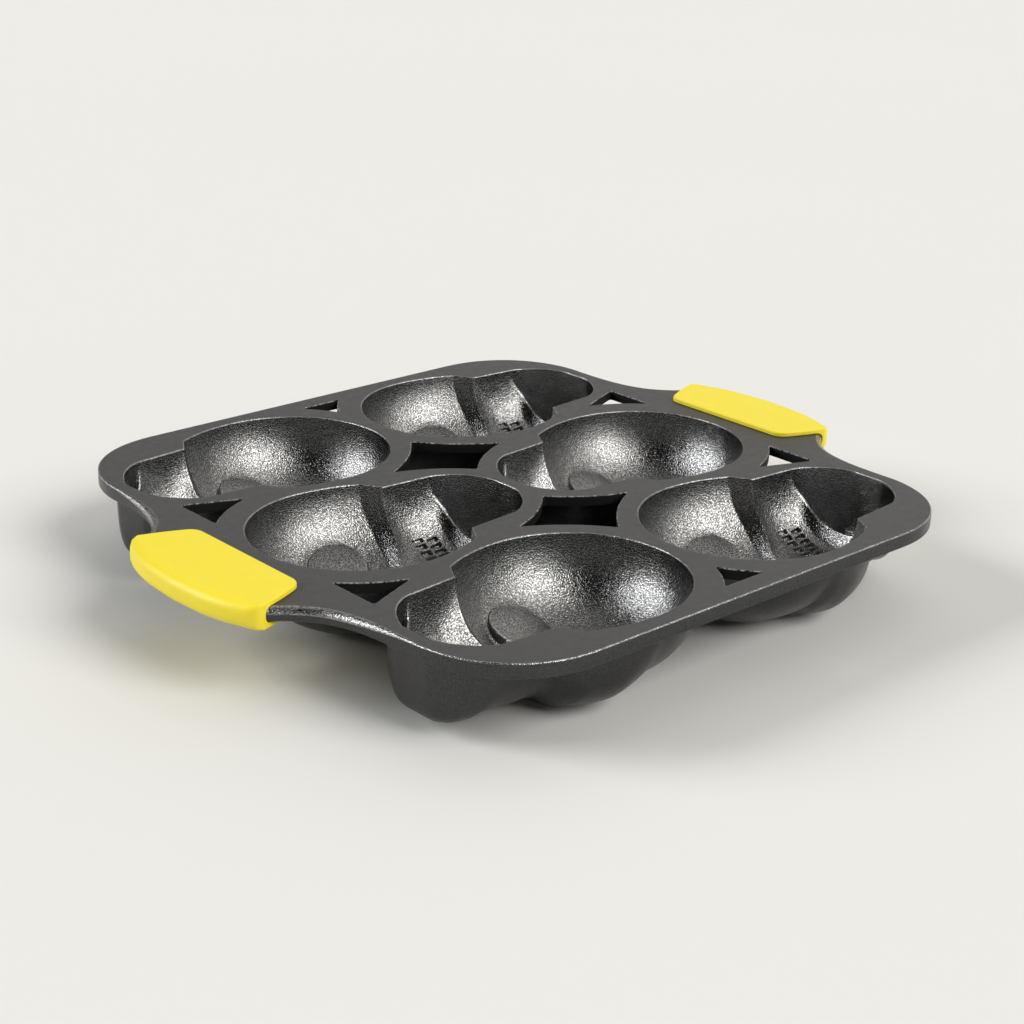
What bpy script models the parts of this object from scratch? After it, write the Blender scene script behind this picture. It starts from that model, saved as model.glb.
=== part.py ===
"""Skull cake pan: one iron casting with six skull cups, and two slip-on silicone grips.

The casting is a flat plate with a deeper rim, eight holes through its web and a solid
tab handle at each end. Six face-up skulls are sunk in it in three rows of two. Each
grip is a silicone sleeve, open towards the pan, that slides over a handle.

Metres, +Z up, +X from handle to handle. The pan stands on z = 0, on the small flats
under its cups, and its middle is over the origin.
"""
import bpy
import bmesh
from math import cos, sin, pi, hypot
from mathutils import Matrix, Vector

# Cup mouth, measured from the top of the skull towards its chin
CUP_LENGTH = 0.1410
CRANIUM_HALF = 0.0506       # half the width of the cranium
CRANIUM_MIDDLE = 0.0518     # where it is widest
CHEEK_RUN = 0.0630          # reach of the ellipse behind that
NOTCH_RUN = 0.0060          # from the corner of the cheek bone to the notch beside the jaw
JAW_LENGTH = 0.0262         # from the notch to where the chin starts to round off
JAW_HALF = 0.0328
JAW_END_HALF = 0.0306
CHIN_LENGTH = 0.0229        # from there to the blunt end
CHIN_BLUNT = 0.0015         # the chin's curve would close this far beyond the blunt end
CHIN_POWER = 1.7
JAW_END_AT = CUP_LENGTH - CHIN_LENGTH
NOTCH_AT = JAW_END_AT - JAW_LENGTH
CHEEK_AT = NOTCH_AT - NOTCH_RUN
CHIN_REACH = CHIN_LENGTH + CHIN_BLUNT

# Cups: where they lie
CRANIUM_LAND = 0.0041       # outer rows: top of the skull to the pan's middle line
CHIN_LAND = 0.0034          # middle row: chin to the pan's middle line
ROW_LAND = 0.0027           # across the pan, between the widest lines of two neighbours
SIDE_LAND = 0.0083          # cranium to a long side of the plate
END_LAND = 0.0072           # outer rows: chin to the end of the plate
ROW_PITCH = 2 * CRANIUM_HALF + ROW_LAND

# Plate and rim
PAN_HEIGHT = 0.0450         # feet to the flat top of the plate
WEB_THICKNESS = 0.0050      # plate between the cups
RIM_DEPTH = 0.0070          # outer rim and handles, from top to underside
RIM_WIDTH = 0.0062          # land of full rim depth round the plate's underside
CORNER_REACH = 0.0548       # reach of a corner curve, along and across the pan
CORNER_POWER = 2.15         # 2 is a round corner, more is squarer
RIM_EDGE = 0.0006           # worn edge of the plate
HANDLE_EDGE = 0.0030        # round edge of the handles, where a hand holds them
EDGE_BLEND_END = 0.0600     # from here in, the edge has the handle's full radius
EDGE_BLEND_LENGTH = 0.0450  # and it opens over this length
PLATE_HALF_WIDTH = ROW_PITCH + CRANIUM_HALF + SIDE_LAND
PLATE_END = CRANIUM_LAND + CUP_LENGTH + END_LAND
SIDE_HALF_LENGTH = PLATE_END - CORNER_REACH

# Handle, from its root out to the tip: distance beyond the plate's end, distance across
HANDLE_CURVE = [(0.0082, 0.0660), (0.0120, 0.0600), (0.0180, 0.0536), (0.0285, 0.0454),
                (0.0324, 0.0401), (0.0356, 0.0315), (0.0380, 0.0199), (0.0394, 0.0000)]
# Sweep from a plate corner to the handle's root: shares of the way along and across
SWEEP_SHARES = [(0.10, 0.75), (0.27, 0.481), (0.585, 0.214)]
END_STEPS = 2               # points on each stretch between two of those

# Walls of the cups
CUP_WALL = 0.0038
CUP_FLOOR = 0.0045
FOOT_CUT = 0.0005           # taken off the lowest part of each cup, which leaves a flat foot
SHELL_ROUNDING = 0.95       # the outside's sections are a little rounder than the inside's
CHIN_SHELL_STEPS = (0.0148, 0.0088, 0.0040, 0.0018, 0.0008)     # back from the chin's end

# Cup depths below the plate's top. A squareness of 2 gives an elliptic cross-section.
BOWL_DEPTH = PAN_HEIGHT - CUP_FLOOR + FOOT_CUT
BOWL_FULL_BEHIND = 0.0010   # the cranium has its full depth this far behind its widest line
BOWL_POWER = 2.4            # how full its front end is, seen from the side
FRONT_SQUARENESS = 2.3      # at the top of the skull
BOWL_SQUARENESS = 2.0       # at the cranium's widest line
CHEEK_SQUARENESS = 1.7      # at the cheeks
CHEEK_RISE = 0.0028         # the floor at the cheeks above the bowl's
STEP_DEPTH = 0.0322         # at the foot of the step from cheeks to jaw
JAW_DEPTH = 0.0347
LIP_DEPTH = 0.0262          # ridge under the lower lip
CHIN_DEPTH = 0.0345
CHIN_FOOT_RISE = 0.0017     # the chin's end wall starts here
CHIN_WALL_RISE = 0.0069     # and is upright from here on
# From the notch to the chin's end: place before the end, depth, squareness
JAW_PLACES = (CHIN_LENGTH + JAW_LENGTH, 0.0391, 0.0299, CHIN_LENGTH, 0.0172, 0.0110, 0.0060,
              0.0028, 0.0012, 0.0)
JAW_DEPTHS = (STEP_DEPTH, JAW_DEPTH - 0.0006, JAW_DEPTH, JAW_DEPTH - 0.0010, LIP_DEPTH,
              CHIN_DEPTH, CHIN_DEPTH, CHIN_DEPTH - CHIN_FOOT_RISE, CHIN_DEPTH - CHIN_WALL_RISE,
              0.0)
JAW_SQUARENESS = (2.3, 2.3, 2.3, 2.1, 2.0, 3.6, 4.2, 4.4, 4.2, 4.0)

# Eye sockets and nose, flat-topped islands on the floor of the cup
EYE_BEHIND = 0.0077         # middle of an eye behind the cranium's widest line
EYE_APART_HALF = 0.0255
EYE_ALONG = 0.0150
EYE_ACROSS = 0.0135
EYE_RISE = 0.0107           # its top above the bowl's floor
EYE_LEAN = 0.42             # the tops fall this much towards the middle, as the bowl does
EYE_FLARE = 1.14            # foot of an island over its top
NOSE_BEHIND = 0.0105        # middle of the nose behind the eyes'
NOSE_LENGTH = 0.0130
NOSE_HALF = 0.0068
NOSE_RISE = 0.0057
EYE_AT = CRANIUM_MIDDLE + EYE_BEHIND
NOSE_AT = EYE_AT + NOSE_BEHIND

# Teeth, two rows of small pits in the floor of the jaw
UPPER_TEETH = 11
LOWER_TEETH = 11
UPPER_PITCH = 0.0043
LOWER_PITCH = 0.0039
TOOTH_LAND = 0.0009         # iron between two pits, at the floor
TOOTH_DEPTH = 0.0012        # pits below the floor of the jaw
TOOTH_ABOVE = 0.0004        # their cutters start this far above it, and are wider by it there
TOOTH_DRAFT = 0.0008        # the ridge at a pit's foot starts this far inside its ends
BITE_BEFORE = 0.0096        # the bite line before the end of the jaw
BITE_LAND = 0.0012          # iron between the two rows
UPPER_TOOTH_LENGTH = 0.0066
LOWER_TOOTH_LENGTH = 0.0070

# Holes in the web
STAR_NOTCH_LAND = 0.0168             # notch of the middle row to the star's side tip
STAR_SIDE_SHIFT = 0.0012             # that tip, from the middle of the web between two cups
STAR_CRANIUM_REACH = 0.0287          # middle line of an outer row to the tip at its craniums
STAR_CHIN_TIP = 0.0234               # middle line of the pan to the tip between two chins
STAR_CRANIUM_BULGE = 0.0031
STAR_CHIN_BULGE = 0.0030
TRIANGLE_RIM_LAND = 0.0115           # plate's end to the rim side of the four side holes
TRIANGLE_LENGTH = 0.0290             # rim side to the tip
TRIANGLE_TIP_SHIFT = 0.0011          # tip from the middle of the web between two cups
TRIANGLE_NEAR = 0.0430               # rim side, from the pan's middle line
TRIANGLE_FAR_LAND = 0.0317           # and back from the outer row's middle line
TRIANGLE_CRANIUM_BULGE = 0.0022
END_HOLE_RIM_LAND = 0.0113           # long side of the plate to the end holes' rim side
END_HOLE_HALF = 0.0128
END_HOLE_LENGTH = 0.0177             # rim side to the tip
END_HOLE_BULGE = 0.0012
HOLE_CORNER = 0.0026                 # corners are rounded back this far

# Grips. Along the pan, places are distances beyond the plate's end.
GRIP_START = 0.0015         # edge that faces the cups
GRIP_INNER_HALF = 0.0334    # half its straight length
GRIP_CORNER_HALF = 0.0388   # the two edges that meet at an inner corner would cross here
GRIP_END = [(0.0071, 0.0410), (0.0120, 0.0431), (0.0172, 0.0451), (0.0225, 0.0469),
            (0.0270, 0.0482)]
GRIP_WALL = 0.0023          # silicone round the handle
GRIP_FIT = 0.0003           # clearance between handle and silicone
GRIP_EDGE = 0.0052          # round outer edge
GRIP_LIP_EDGE = 0.0009      # edges at the mouth of the sleeve
GRIP_EDGE_BLEND = 0.0080    # along the grip, from the fine edge to the round one

CAVITY_POINTS = 14          # steps across a section of a cup's inside
SHELL_POINTS = 10           # steps across a section of its outside
CUT_OVER = 0.0020           # how far cutters run past the faces that they cut
POCKET_SPACING = 0.0010     # points of the underside's pocket are no nearer than this


def clear_scene():
    for item in list(bpy.data.objects):
        bpy.data.objects.remove(item, do_unlink=True)


def material(name, colour, roughness, metallic):
    made = bpy.data.materials.new(name)
    made.use_nodes = True
    shader = made.node_tree.nodes["Principled BSDF"]
    shader.inputs["Base Color"].default_value = (*colour, 1.0)
    shader.inputs["Roughness"].default_value = roughness
    shader.inputs["Metallic"].default_value = metallic
    return made


def mesh_object(name, bm):
    bmesh.ops.recalc_face_normals(bm, faces=bm.faces)
    mesh = bpy.data.meshes.new(name)
    bm.to_mesh(mesh)
    bm.free()
    item = bpy.data.objects.new(name, mesh)
    bpy.context.scene.collection.objects.link(item)
    return item


def hide_cutter(item):
    item.hide_render = True
    item.display_type = 'WIRE'


def boolean(target, tool, operation):
    modifier = target.modifiers.new(operation.title(), 'BOOLEAN')
    modifier.operation = operation
    modifier.solver = 'EXACT'
    modifier.object = tool
    hide_cutter(tool)


def apply_modifiers(item):
    """Turns what the modifiers make into the object's own mesh."""
    graph = bpy.context.evaluated_depsgraph_get()
    result = bpy.data.meshes.new_from_object(item.evaluated_get(graph))
    item.modifiers.clear()
    item.data = result


def loft(rings, cap_first=True, cap_last=True):
    """A closed solid through rings of equal counts of points; doubled points are merged."""
    bm = bmesh.new()
    rows = [[bm.verts.new(point) for point in ring] for ring in rings]
    count = len(rows[0])
    for low, high in zip(rows, rows[1:]):
        for i in range(count):
            j = (i + 1) % count
            bm.faces.new((low[i], low[j], high[j], high[i]))
    if cap_first:
        bm.faces.new(rows[0])
    if cap_last:
        bm.faces.new(rows[-1])
    bmesh.ops.remove_doubles(bm, verts=bm.verts, dist=1e-6)
    bmesh.ops.dissolve_degenerate(bm, edges=bm.edges, dist=1e-6)
    return bm


def prism(name, outline, low, high):
    return mesh_object(name, loft([[(x, y, z) for x, y in outline] for z in (low, high)]))


# Cups

def cup_half_width(s):
    """Half width of the mouth at a distance s from the top of the skull."""
    if s <= CRANIUM_MIDDLE:
        return CRANIUM_HALF * max(0.0, 1 - ((CRANIUM_MIDDLE - s) / CRANIUM_MIDDLE) ** 2) ** 0.5
    if s <= CHEEK_AT:
        return CRANIUM_HALF * (1 - ((s - CRANIUM_MIDDLE) / CHEEK_RUN) ** 2) ** 0.5
    if s <= NOTCH_AT:
        share = (s - CHEEK_AT) / (NOTCH_AT - CHEEK_AT)
        return cup_half_width(CHEEK_AT) * (1 - share) + JAW_HALF * share
    if s <= JAW_END_AT:
        share = (s - NOTCH_AT) / (JAW_END_AT - NOTCH_AT)
        return JAW_HALF * (1 - share) + JAW_END_HALF * share
    share = min(1.0, (s - JAW_END_AT) / CHIN_REACH)
    return JAW_END_HALF * (1 - share ** CHIN_POWER) ** (1 / CHIN_POWER)


def cup_stations():
    """Cross-sections from the top of the skull to its chin: place, depth, squareness."""
    stations = []
    front_steps = 7
    full_at = CRANIUM_MIDDLE + BOWL_FULL_BEHIND
    for k in range(front_steps + 1):
        s = CRANIUM_MIDDLE * (1 - cos(0.5 * pi * k / front_steps))
        left = (full_at - s) / full_at
        rise = max(0.0, 1 - left ** BOWL_POWER) ** (1 / BOWL_POWER)
        squareness = FRONT_SQUARENESS + (BOWL_SQUARENESS - FRONT_SQUARENESS) * s / CRANIUM_MIDDLE
        stations.append((s, BOWL_DEPTH * rise, squareness))
    rear_steps = 3
    for k in range(1, rear_steps + 1):
        share = k / rear_steps
        s = CRANIUM_MIDDLE + (CHEEK_AT - CRANIUM_MIDDLE) * share
        stations.append((s, BOWL_DEPTH - CHEEK_RISE * share,
                         BOWL_SQUARENESS + (CHEEK_SQUARENESS - BOWL_SQUARENESS) * share))
    for before, depth, squareness in zip(JAW_PLACES, JAW_DEPTHS, JAW_SQUARENESS):
        stations.append((CUP_LENGTH - before, depth, squareness))
    return stations


def section(half, depth, squareness, steps):
    """Half-round profile below the mouth: across and down, from one side to the other."""
    points = []
    for i in range(steps + 1):
        angle = pi * i / steps
        across = abs(cos(angle)) ** (2 / squareness)
        down = abs(sin(angle)) ** (2 / squareness)
        points.append((half * across * (1 if angle <= pi / 2 else -1), depth * down))
    return points


def cavity_cutter():
    """The hollow of one cup, with its mouth at z = 0 and the skull's top at x = 0."""
    rings = []
    for s, depth, squareness in cup_stations():
        profile = section(cup_half_width(s), depth, squareness, CAVITY_POINTS)
        ring = [(s, t, -down) for t, down in profile]
        lid = [(s, t, CUT_OVER) for t in (profile[-1][0], profile[0][0])]
        rings.append(ring + lid)
    cavity = mesh_object("cavity", loft(rings))
    for side in (1, -1):
        boolean(cavity, eye_island(side), 'DIFFERENCE')
    boolean(cavity, nose_island(), 'DIFFERENCE')
    boolean(cavity, tooth_pits(), 'UNION')
    apply_modifiers(cavity)
    hide_cutter(cavity)
    return cavity


def island(name, outline, middle, top_depth, lean=0.0):
    """A plug with drafted sides: its flat top is at top_depth, falling by lean along t."""
    def ring(scale, depth):
        return [(middle[0] + (s - middle[0]) * scale, middle[1] + (t - middle[1]) * scale,
                 -depth - lean * (t - middle[1]) * scale) for s, t in outline]
    bottom = PAN_HEIGHT + CUT_OVER
    foot = 1 + (EYE_FLARE - 1) * (bottom - top_depth) / (BOWL_DEPTH - top_depth)
    return mesh_object(name, loft([ring(foot, bottom), ring(1.0, top_depth)]))


def eye_island(side):
    middle = (EYE_AT, side * EYE_APART_HALF)
    steps = 16
    outline = [(middle[0] + EYE_ALONG * cos(2 * pi * k / steps),
                middle[1] + EYE_ACROSS * sin(2 * pi * k / steps)) for k in range(steps)]
    return island("eye", outline, middle, BOWL_DEPTH - EYE_RISE, -side * EYE_LEAN)


def nose_island():
    """A nose opening: pointed towards the brow, with two lobes towards the teeth."""
    half = [(-0.5, 0.16), (-0.1, 0.62), (0.28, 1.0), (0.5, 0.72), (0.42, 0.22)]
    outline = [(NOSE_AT + NOSE_LENGTH * a, NOSE_HALF * b) for a, b in half]
    outline += [(s, -t) for s, t in reversed(outline)]
    return island("nose", outline, (NOSE_AT, 0.0), BOWL_DEPTH - NOSE_RISE)


def floor_depth(s, t):
    """Depth of the cup's floor at a point, from the section there."""
    depth, squareness = station_at(s)
    return depth * (1 - abs(t / cup_half_width(s)) ** squareness) ** (1 / squareness)


def tooth_pits():
    """Two rows of V-shaped pits, one for each tooth, on the arched floor of the jaw."""
    bite = JAW_END_AT - BITE_BEFORE
    rows = [(UPPER_TEETH, UPPER_PITCH, bite - BITE_LAND / 2 - UPPER_TOOTH_LENGTH, bite - BITE_LAND / 2),
            (LOWER_TEETH, LOWER_PITCH, bite + BITE_LAND / 2, bite + BITE_LAND / 2 + LOWER_TOOTH_LENGTH)]
    bm = bmesh.new()
    for count, pitch, start, end in rows:
        half = (pitch - TOOTH_LAND) / 2
        for k in range(count):
            middle = (k - (count - 1) / 2) * pitch
            low, high = start - TOOTH_ABOVE, end + TOOTH_ABOVE
            side = half + TOOTH_ABOVE
            mouth = [bm.verts.new((s, t, TOOTH_ABOVE - floor_depth(s, t))) for s, t in (
                (low, middle - side), (high, middle - side),
                (high, middle + side), (low, middle + side))]
            foot = [bm.verts.new((s, middle, -floor_depth(s, middle) - TOOTH_DEPTH))
                    for s in (start + TOOTH_DRAFT, end - TOOTH_DRAFT)]
            bm.faces.new(mouth)
            bm.faces.new((mouth[0], foot[0], foot[1], mouth[1]))
            bm.faces.new((mouth[2], foot[1], foot[0], mouth[3]))
            bm.faces.new((mouth[1], foot[1], mouth[2]))
            bm.faces.new((mouth[3], foot[0], mouth[0]))
    return mesh_object("tooth_pits", bm)


def station_at(s):
    """Depth and squareness at any s, straight between two stations."""
    stations = cup_stations()
    if not 0 <= s <= CUP_LENGTH:
        return 0.0, stations[0 if s < 0 else -1][2]
    for (a, depth_a, square_a), (b, depth_b, square_b) in zip(stations, stations[1:]):
        if s <= b:
            share = (s - a) / (b - a)
            return (depth_a + (depth_b - depth_a) * share,
                    square_a + (square_b - square_a) * share)
    return stations[-1][1:]


def shell_section(place):
    """Half width, depth and squareness of the outside: the cup's section, larger by the wall."""
    half = depth = 0.0
    for share in (-1, -0.7, 0, 0.7, 1):
        near = min(CUP_LENGTH, max(0.0, place + CUP_WALL * share))
        extra = (1 - share * share) ** 0.5
        half = max(half, cup_half_width(near) + CUP_WALL * extra)
        depth = max(depth, station_at(near)[0] + CUP_FLOOR * extra)
    return half, depth, SHELL_ROUNDING * station_at(min(CUP_LENGTH, max(0.0, place)))[1]


def shell_solid():
    """The outside of one cup; its top edge and its two tips are hidden inside the web."""
    hidden = WEB_THICKNESS / 2
    reach = CRANIUM_MIDDLE + CUP_WALL
    end = CUP_LENGTH + CUP_WALL
    places = [CRANIUM_MIDDLE - reach * cos(0.5 * pi * k / 7) for k in range(8)]
    places += [CRANIUM_MIDDLE + (CHEEK_AT - CRANIUM_MIDDLE) * k / 3 for k in (1, 2)]
    places += [CHEEK_AT, CHEEK_AT + CUP_WALL, NOTCH_AT + CUP_WALL, (NOTCH_AT + JAW_END_AT) / 2,
               JAW_END_AT] + [end - back for back in CHIN_SHELL_STEPS]
    rings = []
    for place in places:
        half, depth, squareness = shell_section(place)
        if place in (places[0], places[-1]):
            depth = 0.0
        profile = section(half, max(depth, 1.6 * hidden), squareness, SHELL_POINTS)
        rings.append([(place, t, -max(d, hidden)) for t, d in profile])
    shell = mesh_object("shell", loft(rings))
    hide_cutter(shell)
    return shell


def cup_placements():
    """Six places: where the top of the skull lies, and which way its chin points."""
    places = []
    for side in (1, -1):
        for row in (-1, 1):
            places.append((side * CRANIUM_LAND, row * ROW_PITCH, side))
        places.append((side * (CHIN_LAND + CUP_LENGTH), 0.0, -side))
    return places


def placed_copy(source, name, place):
    x, y, way = place
    copy = bpy.data.objects.new(name, source.data)
    copy.matrix_world = Matrix.Translation((x, y, PAN_HEIGHT)) @ Matrix.Rotation(
        0.0 if way > 0 else pi, 4, 'Z')
    bpy.context.scene.collection.objects.link(copy)
    return copy


# Plate, rim and handles

def smooth_points(points, steps):
    """Catmull-Rom curve through the points, with the last point left out."""
    padded = [points[0]] + list(points) + [points[-1]]
    made = []
    for k in range(len(points) - 1):
        a, b, c, d = [Vector(p) for p in padded[k:k + 4]]
        for i in range(steps):
            u = i / steps
            made.append(0.5 * ((2 * b) + (c - a) * u + (2 * a - 5 * b + 4 * c - d) * u ** 2
                               + (3 * b - a - 3 * c + d) * u ** 3))
    return [(p.x, p.y) for p in made]


def pan_quarter():
    """Outline from the middle of a long side to the tip of a handle, tip included."""
    points = [(0.0, PLATE_HALF_WIDTH), (SIDE_HALF_LENGTH / 2, PLATE_HALF_WIDTH)]
    corner_steps = 9
    for k in range(corner_steps):
        angle = pi / 2 * (1 - k / corner_steps)
        points.append((SIDE_HALF_LENGTH + CORNER_REACH * cos(angle) ** (2 / CORNER_POWER),
                       PLATE_HALF_WIDTH - CORNER_REACH * (1 - sin(angle) ** (2 / CORNER_POWER))))
    start = (PLATE_END, PLATE_HALF_WIDTH - CORNER_REACH)
    root_along, root_across = HANDLE_CURVE[0]
    sweep = [(PLATE_END + root_along * a, root_across + (start[1] - root_across) * b)
             for a, b in SWEEP_SHARES]
    handle = [(PLATE_END + along, across) for along, across in HANDLE_CURVE]
    return points + smooth_points([start] + sweep + handle, END_STEPS) + [handle[-1]]


def pan_outline():
    """The whole outline, anticlockwise, from the quarter mirrored twice."""
    quarter = pan_quarter()
    upper = quarter[::-1] + [(-x, y) for x, y in quarter[1:]]
    return upper + [(x, -y) for x, y in reversed(upper[1:-1])]


def outward(outline):
    """Unit normals of a closed anticlockwise outline, pointing out."""
    count = len(outline)
    normals = []
    for i in range(count):
        (ax, ay), (bx, by) = outline[i - 1], outline[(i + 1) % count]
        length = hypot(bx - ax, by - ay)
        normals.append(((by - ay) / length, (ax - bx) / length))
    return normals


def grown(outline, amounts):
    return [(x + nx * a, y + ny * a)
            for (x, y), (nx, ny), a in zip(outline, outward(outline), amounts)]


def rounded_slab(outline, top, bottom, radii, growth=0.0, steps=2):
    """A slab whose edge is rounded by its own radius at each point of the outline."""
    rings = []
    for level, way in ((top + growth, 1), (bottom - growth, -1)):
        quarter = []
        for k in range(steps + 1):
            angle = 0.5 * pi * k / steps
            inset = [growth - r * (1 - sin(angle)) for r in radii]
            drop = [r * (1 - cos(angle)) for r in radii]
            quarter.append([(x, y, level - way * d)
                            for (x, y), d in zip(grown(outline, inset), drop)])
        rings += quarter if way > 0 else quarter[::-1]
    return loft(rings)


def edge_radius(y):
    """The plate's sharp edge opens gradually into the round edge of the handles."""
    share = 1 - (abs(y) - EDGE_BLEND_END) / EDGE_BLEND_LENGTH
    share = min(1.0, max(0.0, share))
    return RIM_EDGE + (HANDLE_EDGE - RIM_EDGE) * share * share * (3 - 2 * share)


def plate_slab():
    outline = pan_outline()
    radii = [edge_radius(y) for x, y in outline]
    top = PAN_HEIGHT
    return mesh_object("pan_casting", rounded_slab(outline, top, top - RIM_DEPTH, radii))


def underside_pocket():
    """Leaves the rim deeper than the web; the handles keep the rim's depth."""
    outline = []
    for (x, y), (nx, ny) in zip(pan_outline(), outward(pan_outline())):
        limit = PLATE_END - RIM_WIDTH
        outline.append((max(-limit, min(limit, x - nx * RIM_WIDTH)), y - ny * RIM_WIDTH))
    kept = [p for p, q in zip(outline, outline[-1:] + outline[:-1])
            if hypot(p[0] - q[0], p[1] - q[1]) > POCKET_SPACING]
    low = PAN_HEIGHT - RIM_DEPTH - CUT_OVER
    return prism("underside_pocket", kept, low, PAN_HEIGHT - WEB_THICKNESS)


def side_points(a, b, bulge, steps):
    """Points from a up to b, bowed to the left by bulge half way."""
    dx, dy = b[0] - a[0], b[1] - a[1]
    length = hypot(dx, dy)
    points = []
    for k in range(steps):
        u = k / steps
        bow = 4 * bulge * u * (1 - u)
        points.append((a[0] + dx * u - dy / length * bow, a[1] + dy * u + dx / length * bow))
    return points


def hole_outline(corners, bulges):
    """A closed outline with bowed sides and corners rounded back by HOLE_CORNER."""
    steps = 6
    outline = []
    count = len(corners)
    for k in range(count):
        outline += side_points(corners[k], corners[(k + 1) % count], bulges[k], steps)
    rounded = []
    total = len(outline)
    for i, point in enumerate(outline):
        if i % steps:
            rounded.append(point)
            continue
        corner = Vector(point)
        before = Vector(outline[i - 1]) - corner
        after = Vector(outline[(i + 1) % total]) - corner
        first = corner + before.normalized() * HOLE_CORNER
        last = corner + after.normalized() * HOLE_CORNER
        middle = (first + last + 2 * corner) / 4
        rounded += [(p.x, p.y) for p in (first, middle, last)]
    return rounded


def web_middle(x):
    """Half way between a cup of the middle row and one of an outer row, at a place x."""
    near = cup_half_width(CHIN_LAND + CUP_LENGTH - x)
    far = ROW_PITCH - cup_half_width(x - CRANIUM_LAND)
    return (near + far) / 2


def star_hole(side):
    """Between four cups: two tips along the pan's middle line and two at the notches."""
    tip_x = CHIN_LAND + CUP_LENGTH - NOTCH_AT - STAR_NOTCH_LAND
    tip_y = web_middle(tip_x) + STAR_SIDE_SHIFT
    far = ROW_PITCH - STAR_CRANIUM_REACH
    corners = [(0.0, STAR_CHIN_TIP), (tip_x, tip_y), (0.0, far), (-tip_x, tip_y)]
    bulges = [STAR_CHIN_BULGE, STAR_CRANIUM_BULGE, STAR_CRANIUM_BULGE, STAR_CHIN_BULGE]
    return [(x, y * side) for x, y in hole_outline(corners, bulges)]


def triangle_hole(side_x, side_y):
    rim = PLATE_END - TRIANGLE_RIM_LAND
    tip = rim - TRIANGLE_LENGTH
    corners = [(rim, TRIANGLE_NEAR), (rim, ROW_PITCH - TRIANGLE_FAR_LAND),
               (tip, web_middle(tip) + TRIANGLE_TIP_SHIFT)]
    bulges = [0.0, 0.0, TRIANGLE_CRANIUM_BULGE]
    return [(x * side_x, y * side_y) for x, y in hole_outline(corners, bulges)]


def end_hole(side):
    rim = PLATE_HALF_WIDTH - END_HOLE_RIM_LAND
    corners = [(-END_HOLE_HALF, rim), (0.0, rim - END_HOLE_LENGTH), (END_HOLE_HALF, rim)]
    bulges = [END_HOLE_BULGE, END_HOLE_BULGE, 0.0]
    return [(x, y * side) for x, y in hole_outline(corners, bulges)]


def hole_cutters():
    outlines = [star_hole(1), star_hole(-1), end_hole(1), end_hole(-1)]
    outlines += [triangle_hole(sx, sy) for sx in (1, -1) for sy in (1, -1)]
    low = PAN_HEIGHT - RIM_DEPTH - CUT_OVER
    return [prism("hole_%d" % (k + 1), outline, low, PAN_HEIGHT + CUT_OVER)
            for k, outline in enumerate(outlines)]


def foot_cutter():
    """Everything below the ground: it cuts the lowest part of each cup flat."""
    x, y = PLATE_END, PLATE_HALF_WIDTH
    return prism("foot_cutter", [(-x, -y), (x, -y), (x, y), (-x, y)], -CUP_FLOOR, 0.0)


def build_casting(iron):
    casting = plate_slab()
    boolean(casting, underside_pocket(), 'DIFFERENCE')
    shell = shell_solid()
    cavity = cavity_cutter()
    for k, place in enumerate(cup_placements()):
        boolean(casting, placed_copy(shell, "shell_%d" % (k + 1), place), 'UNION')
    for k, place in enumerate(cup_placements()):
        boolean(casting, placed_copy(cavity, "cavity_%d" % (k + 1), place), 'DIFFERENCE')
    for cutter in hole_cutters() + [foot_cutter()]:
        boolean(casting, cutter, 'DIFFERENCE')
    apply_modifiers(casting)
    casting.data.materials.clear()
    casting.data.materials.append(iron)
    return casting


# Grips

def grip_outline():
    """One grip for the +X handle, anticlockwise from the lower end of its bowed outer edge."""
    reach = GRIP_WALL + GRIP_FIT
    upper = [p for p in pan_quarter()[::-1] if p[0] > PLATE_END + GRIP_END[-1][0]]
    tip = [(x, -y) for x, y in reversed(upper[1:])] + upper
    outer = grown(tip, [reach] * len(tip))[1:-1]
    side = [(PLATE_END + along, across) for along, across in GRIP_END]
    inner = PLATE_END + GRIP_START
    bend = (side[0], (inner, GRIP_CORNER_HALF), (inner, GRIP_INNER_HALF))
    corner = []
    corner_steps = 4
    for k in range(corner_steps + 1):
        u = k / corner_steps
        corner.append(tuple((1 - u) ** 2 * a + 2 * u * (1 - u) * b + u ** 2 * c
                            for a, b, c in zip(*bend)))
    end = side[:0:-1] + corner
    return outer + end + [(x, -y) for x, y in reversed(end)]


def grip_radii(outline):
    """The outer edge is soft and round, the edges at the sleeve's mouth are fine."""
    start = PLATE_END + GRIP_END[-1][0]
    radii = []
    for x, y in outline:
        share = min(1.0, max(0.0, (x - start) / GRIP_EDGE_BLEND))
        radii.append(GRIP_LIP_EDGE + (GRIP_EDGE - GRIP_LIP_EDGE) * share)
    return radii


def handle_clearance():
    """The casting's slab, larger by the fit all round: it cuts the sleeve's pocket."""
    outline = pan_outline()
    radii = [edge_radius(y) for x, y in outline]
    slab = rounded_slab(outline, PAN_HEIGHT, PAN_HEIGHT - RIM_DEPTH, radii, GRIP_FIT)
    return mesh_object("handle_clearance", slab)


def build_grip(name, side, pocket, silicone):
    outline = grip_outline()
    radii = grip_radii(outline)
    if side < 0:
        outline = [(-x, y) for x, y in reversed(outline)]
        radii = radii[::-1]
    reach = GRIP_WALL + GRIP_FIT
    low = PAN_HEIGHT - RIM_DEPTH - reach
    grip = mesh_object(name, rounded_slab(outline, PAN_HEIGHT + reach, low, radii, steps=3))
    boolean(grip, pocket, 'DIFFERENCE')
    apply_modifiers(grip)
    grip.data.materials.clear()
    grip.data.materials.append(silicone)
    return grip


def shade(item, angle):
    item.data.shade_smooth()
    item.data.set_sharp_from_angle(angle=angle)


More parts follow.
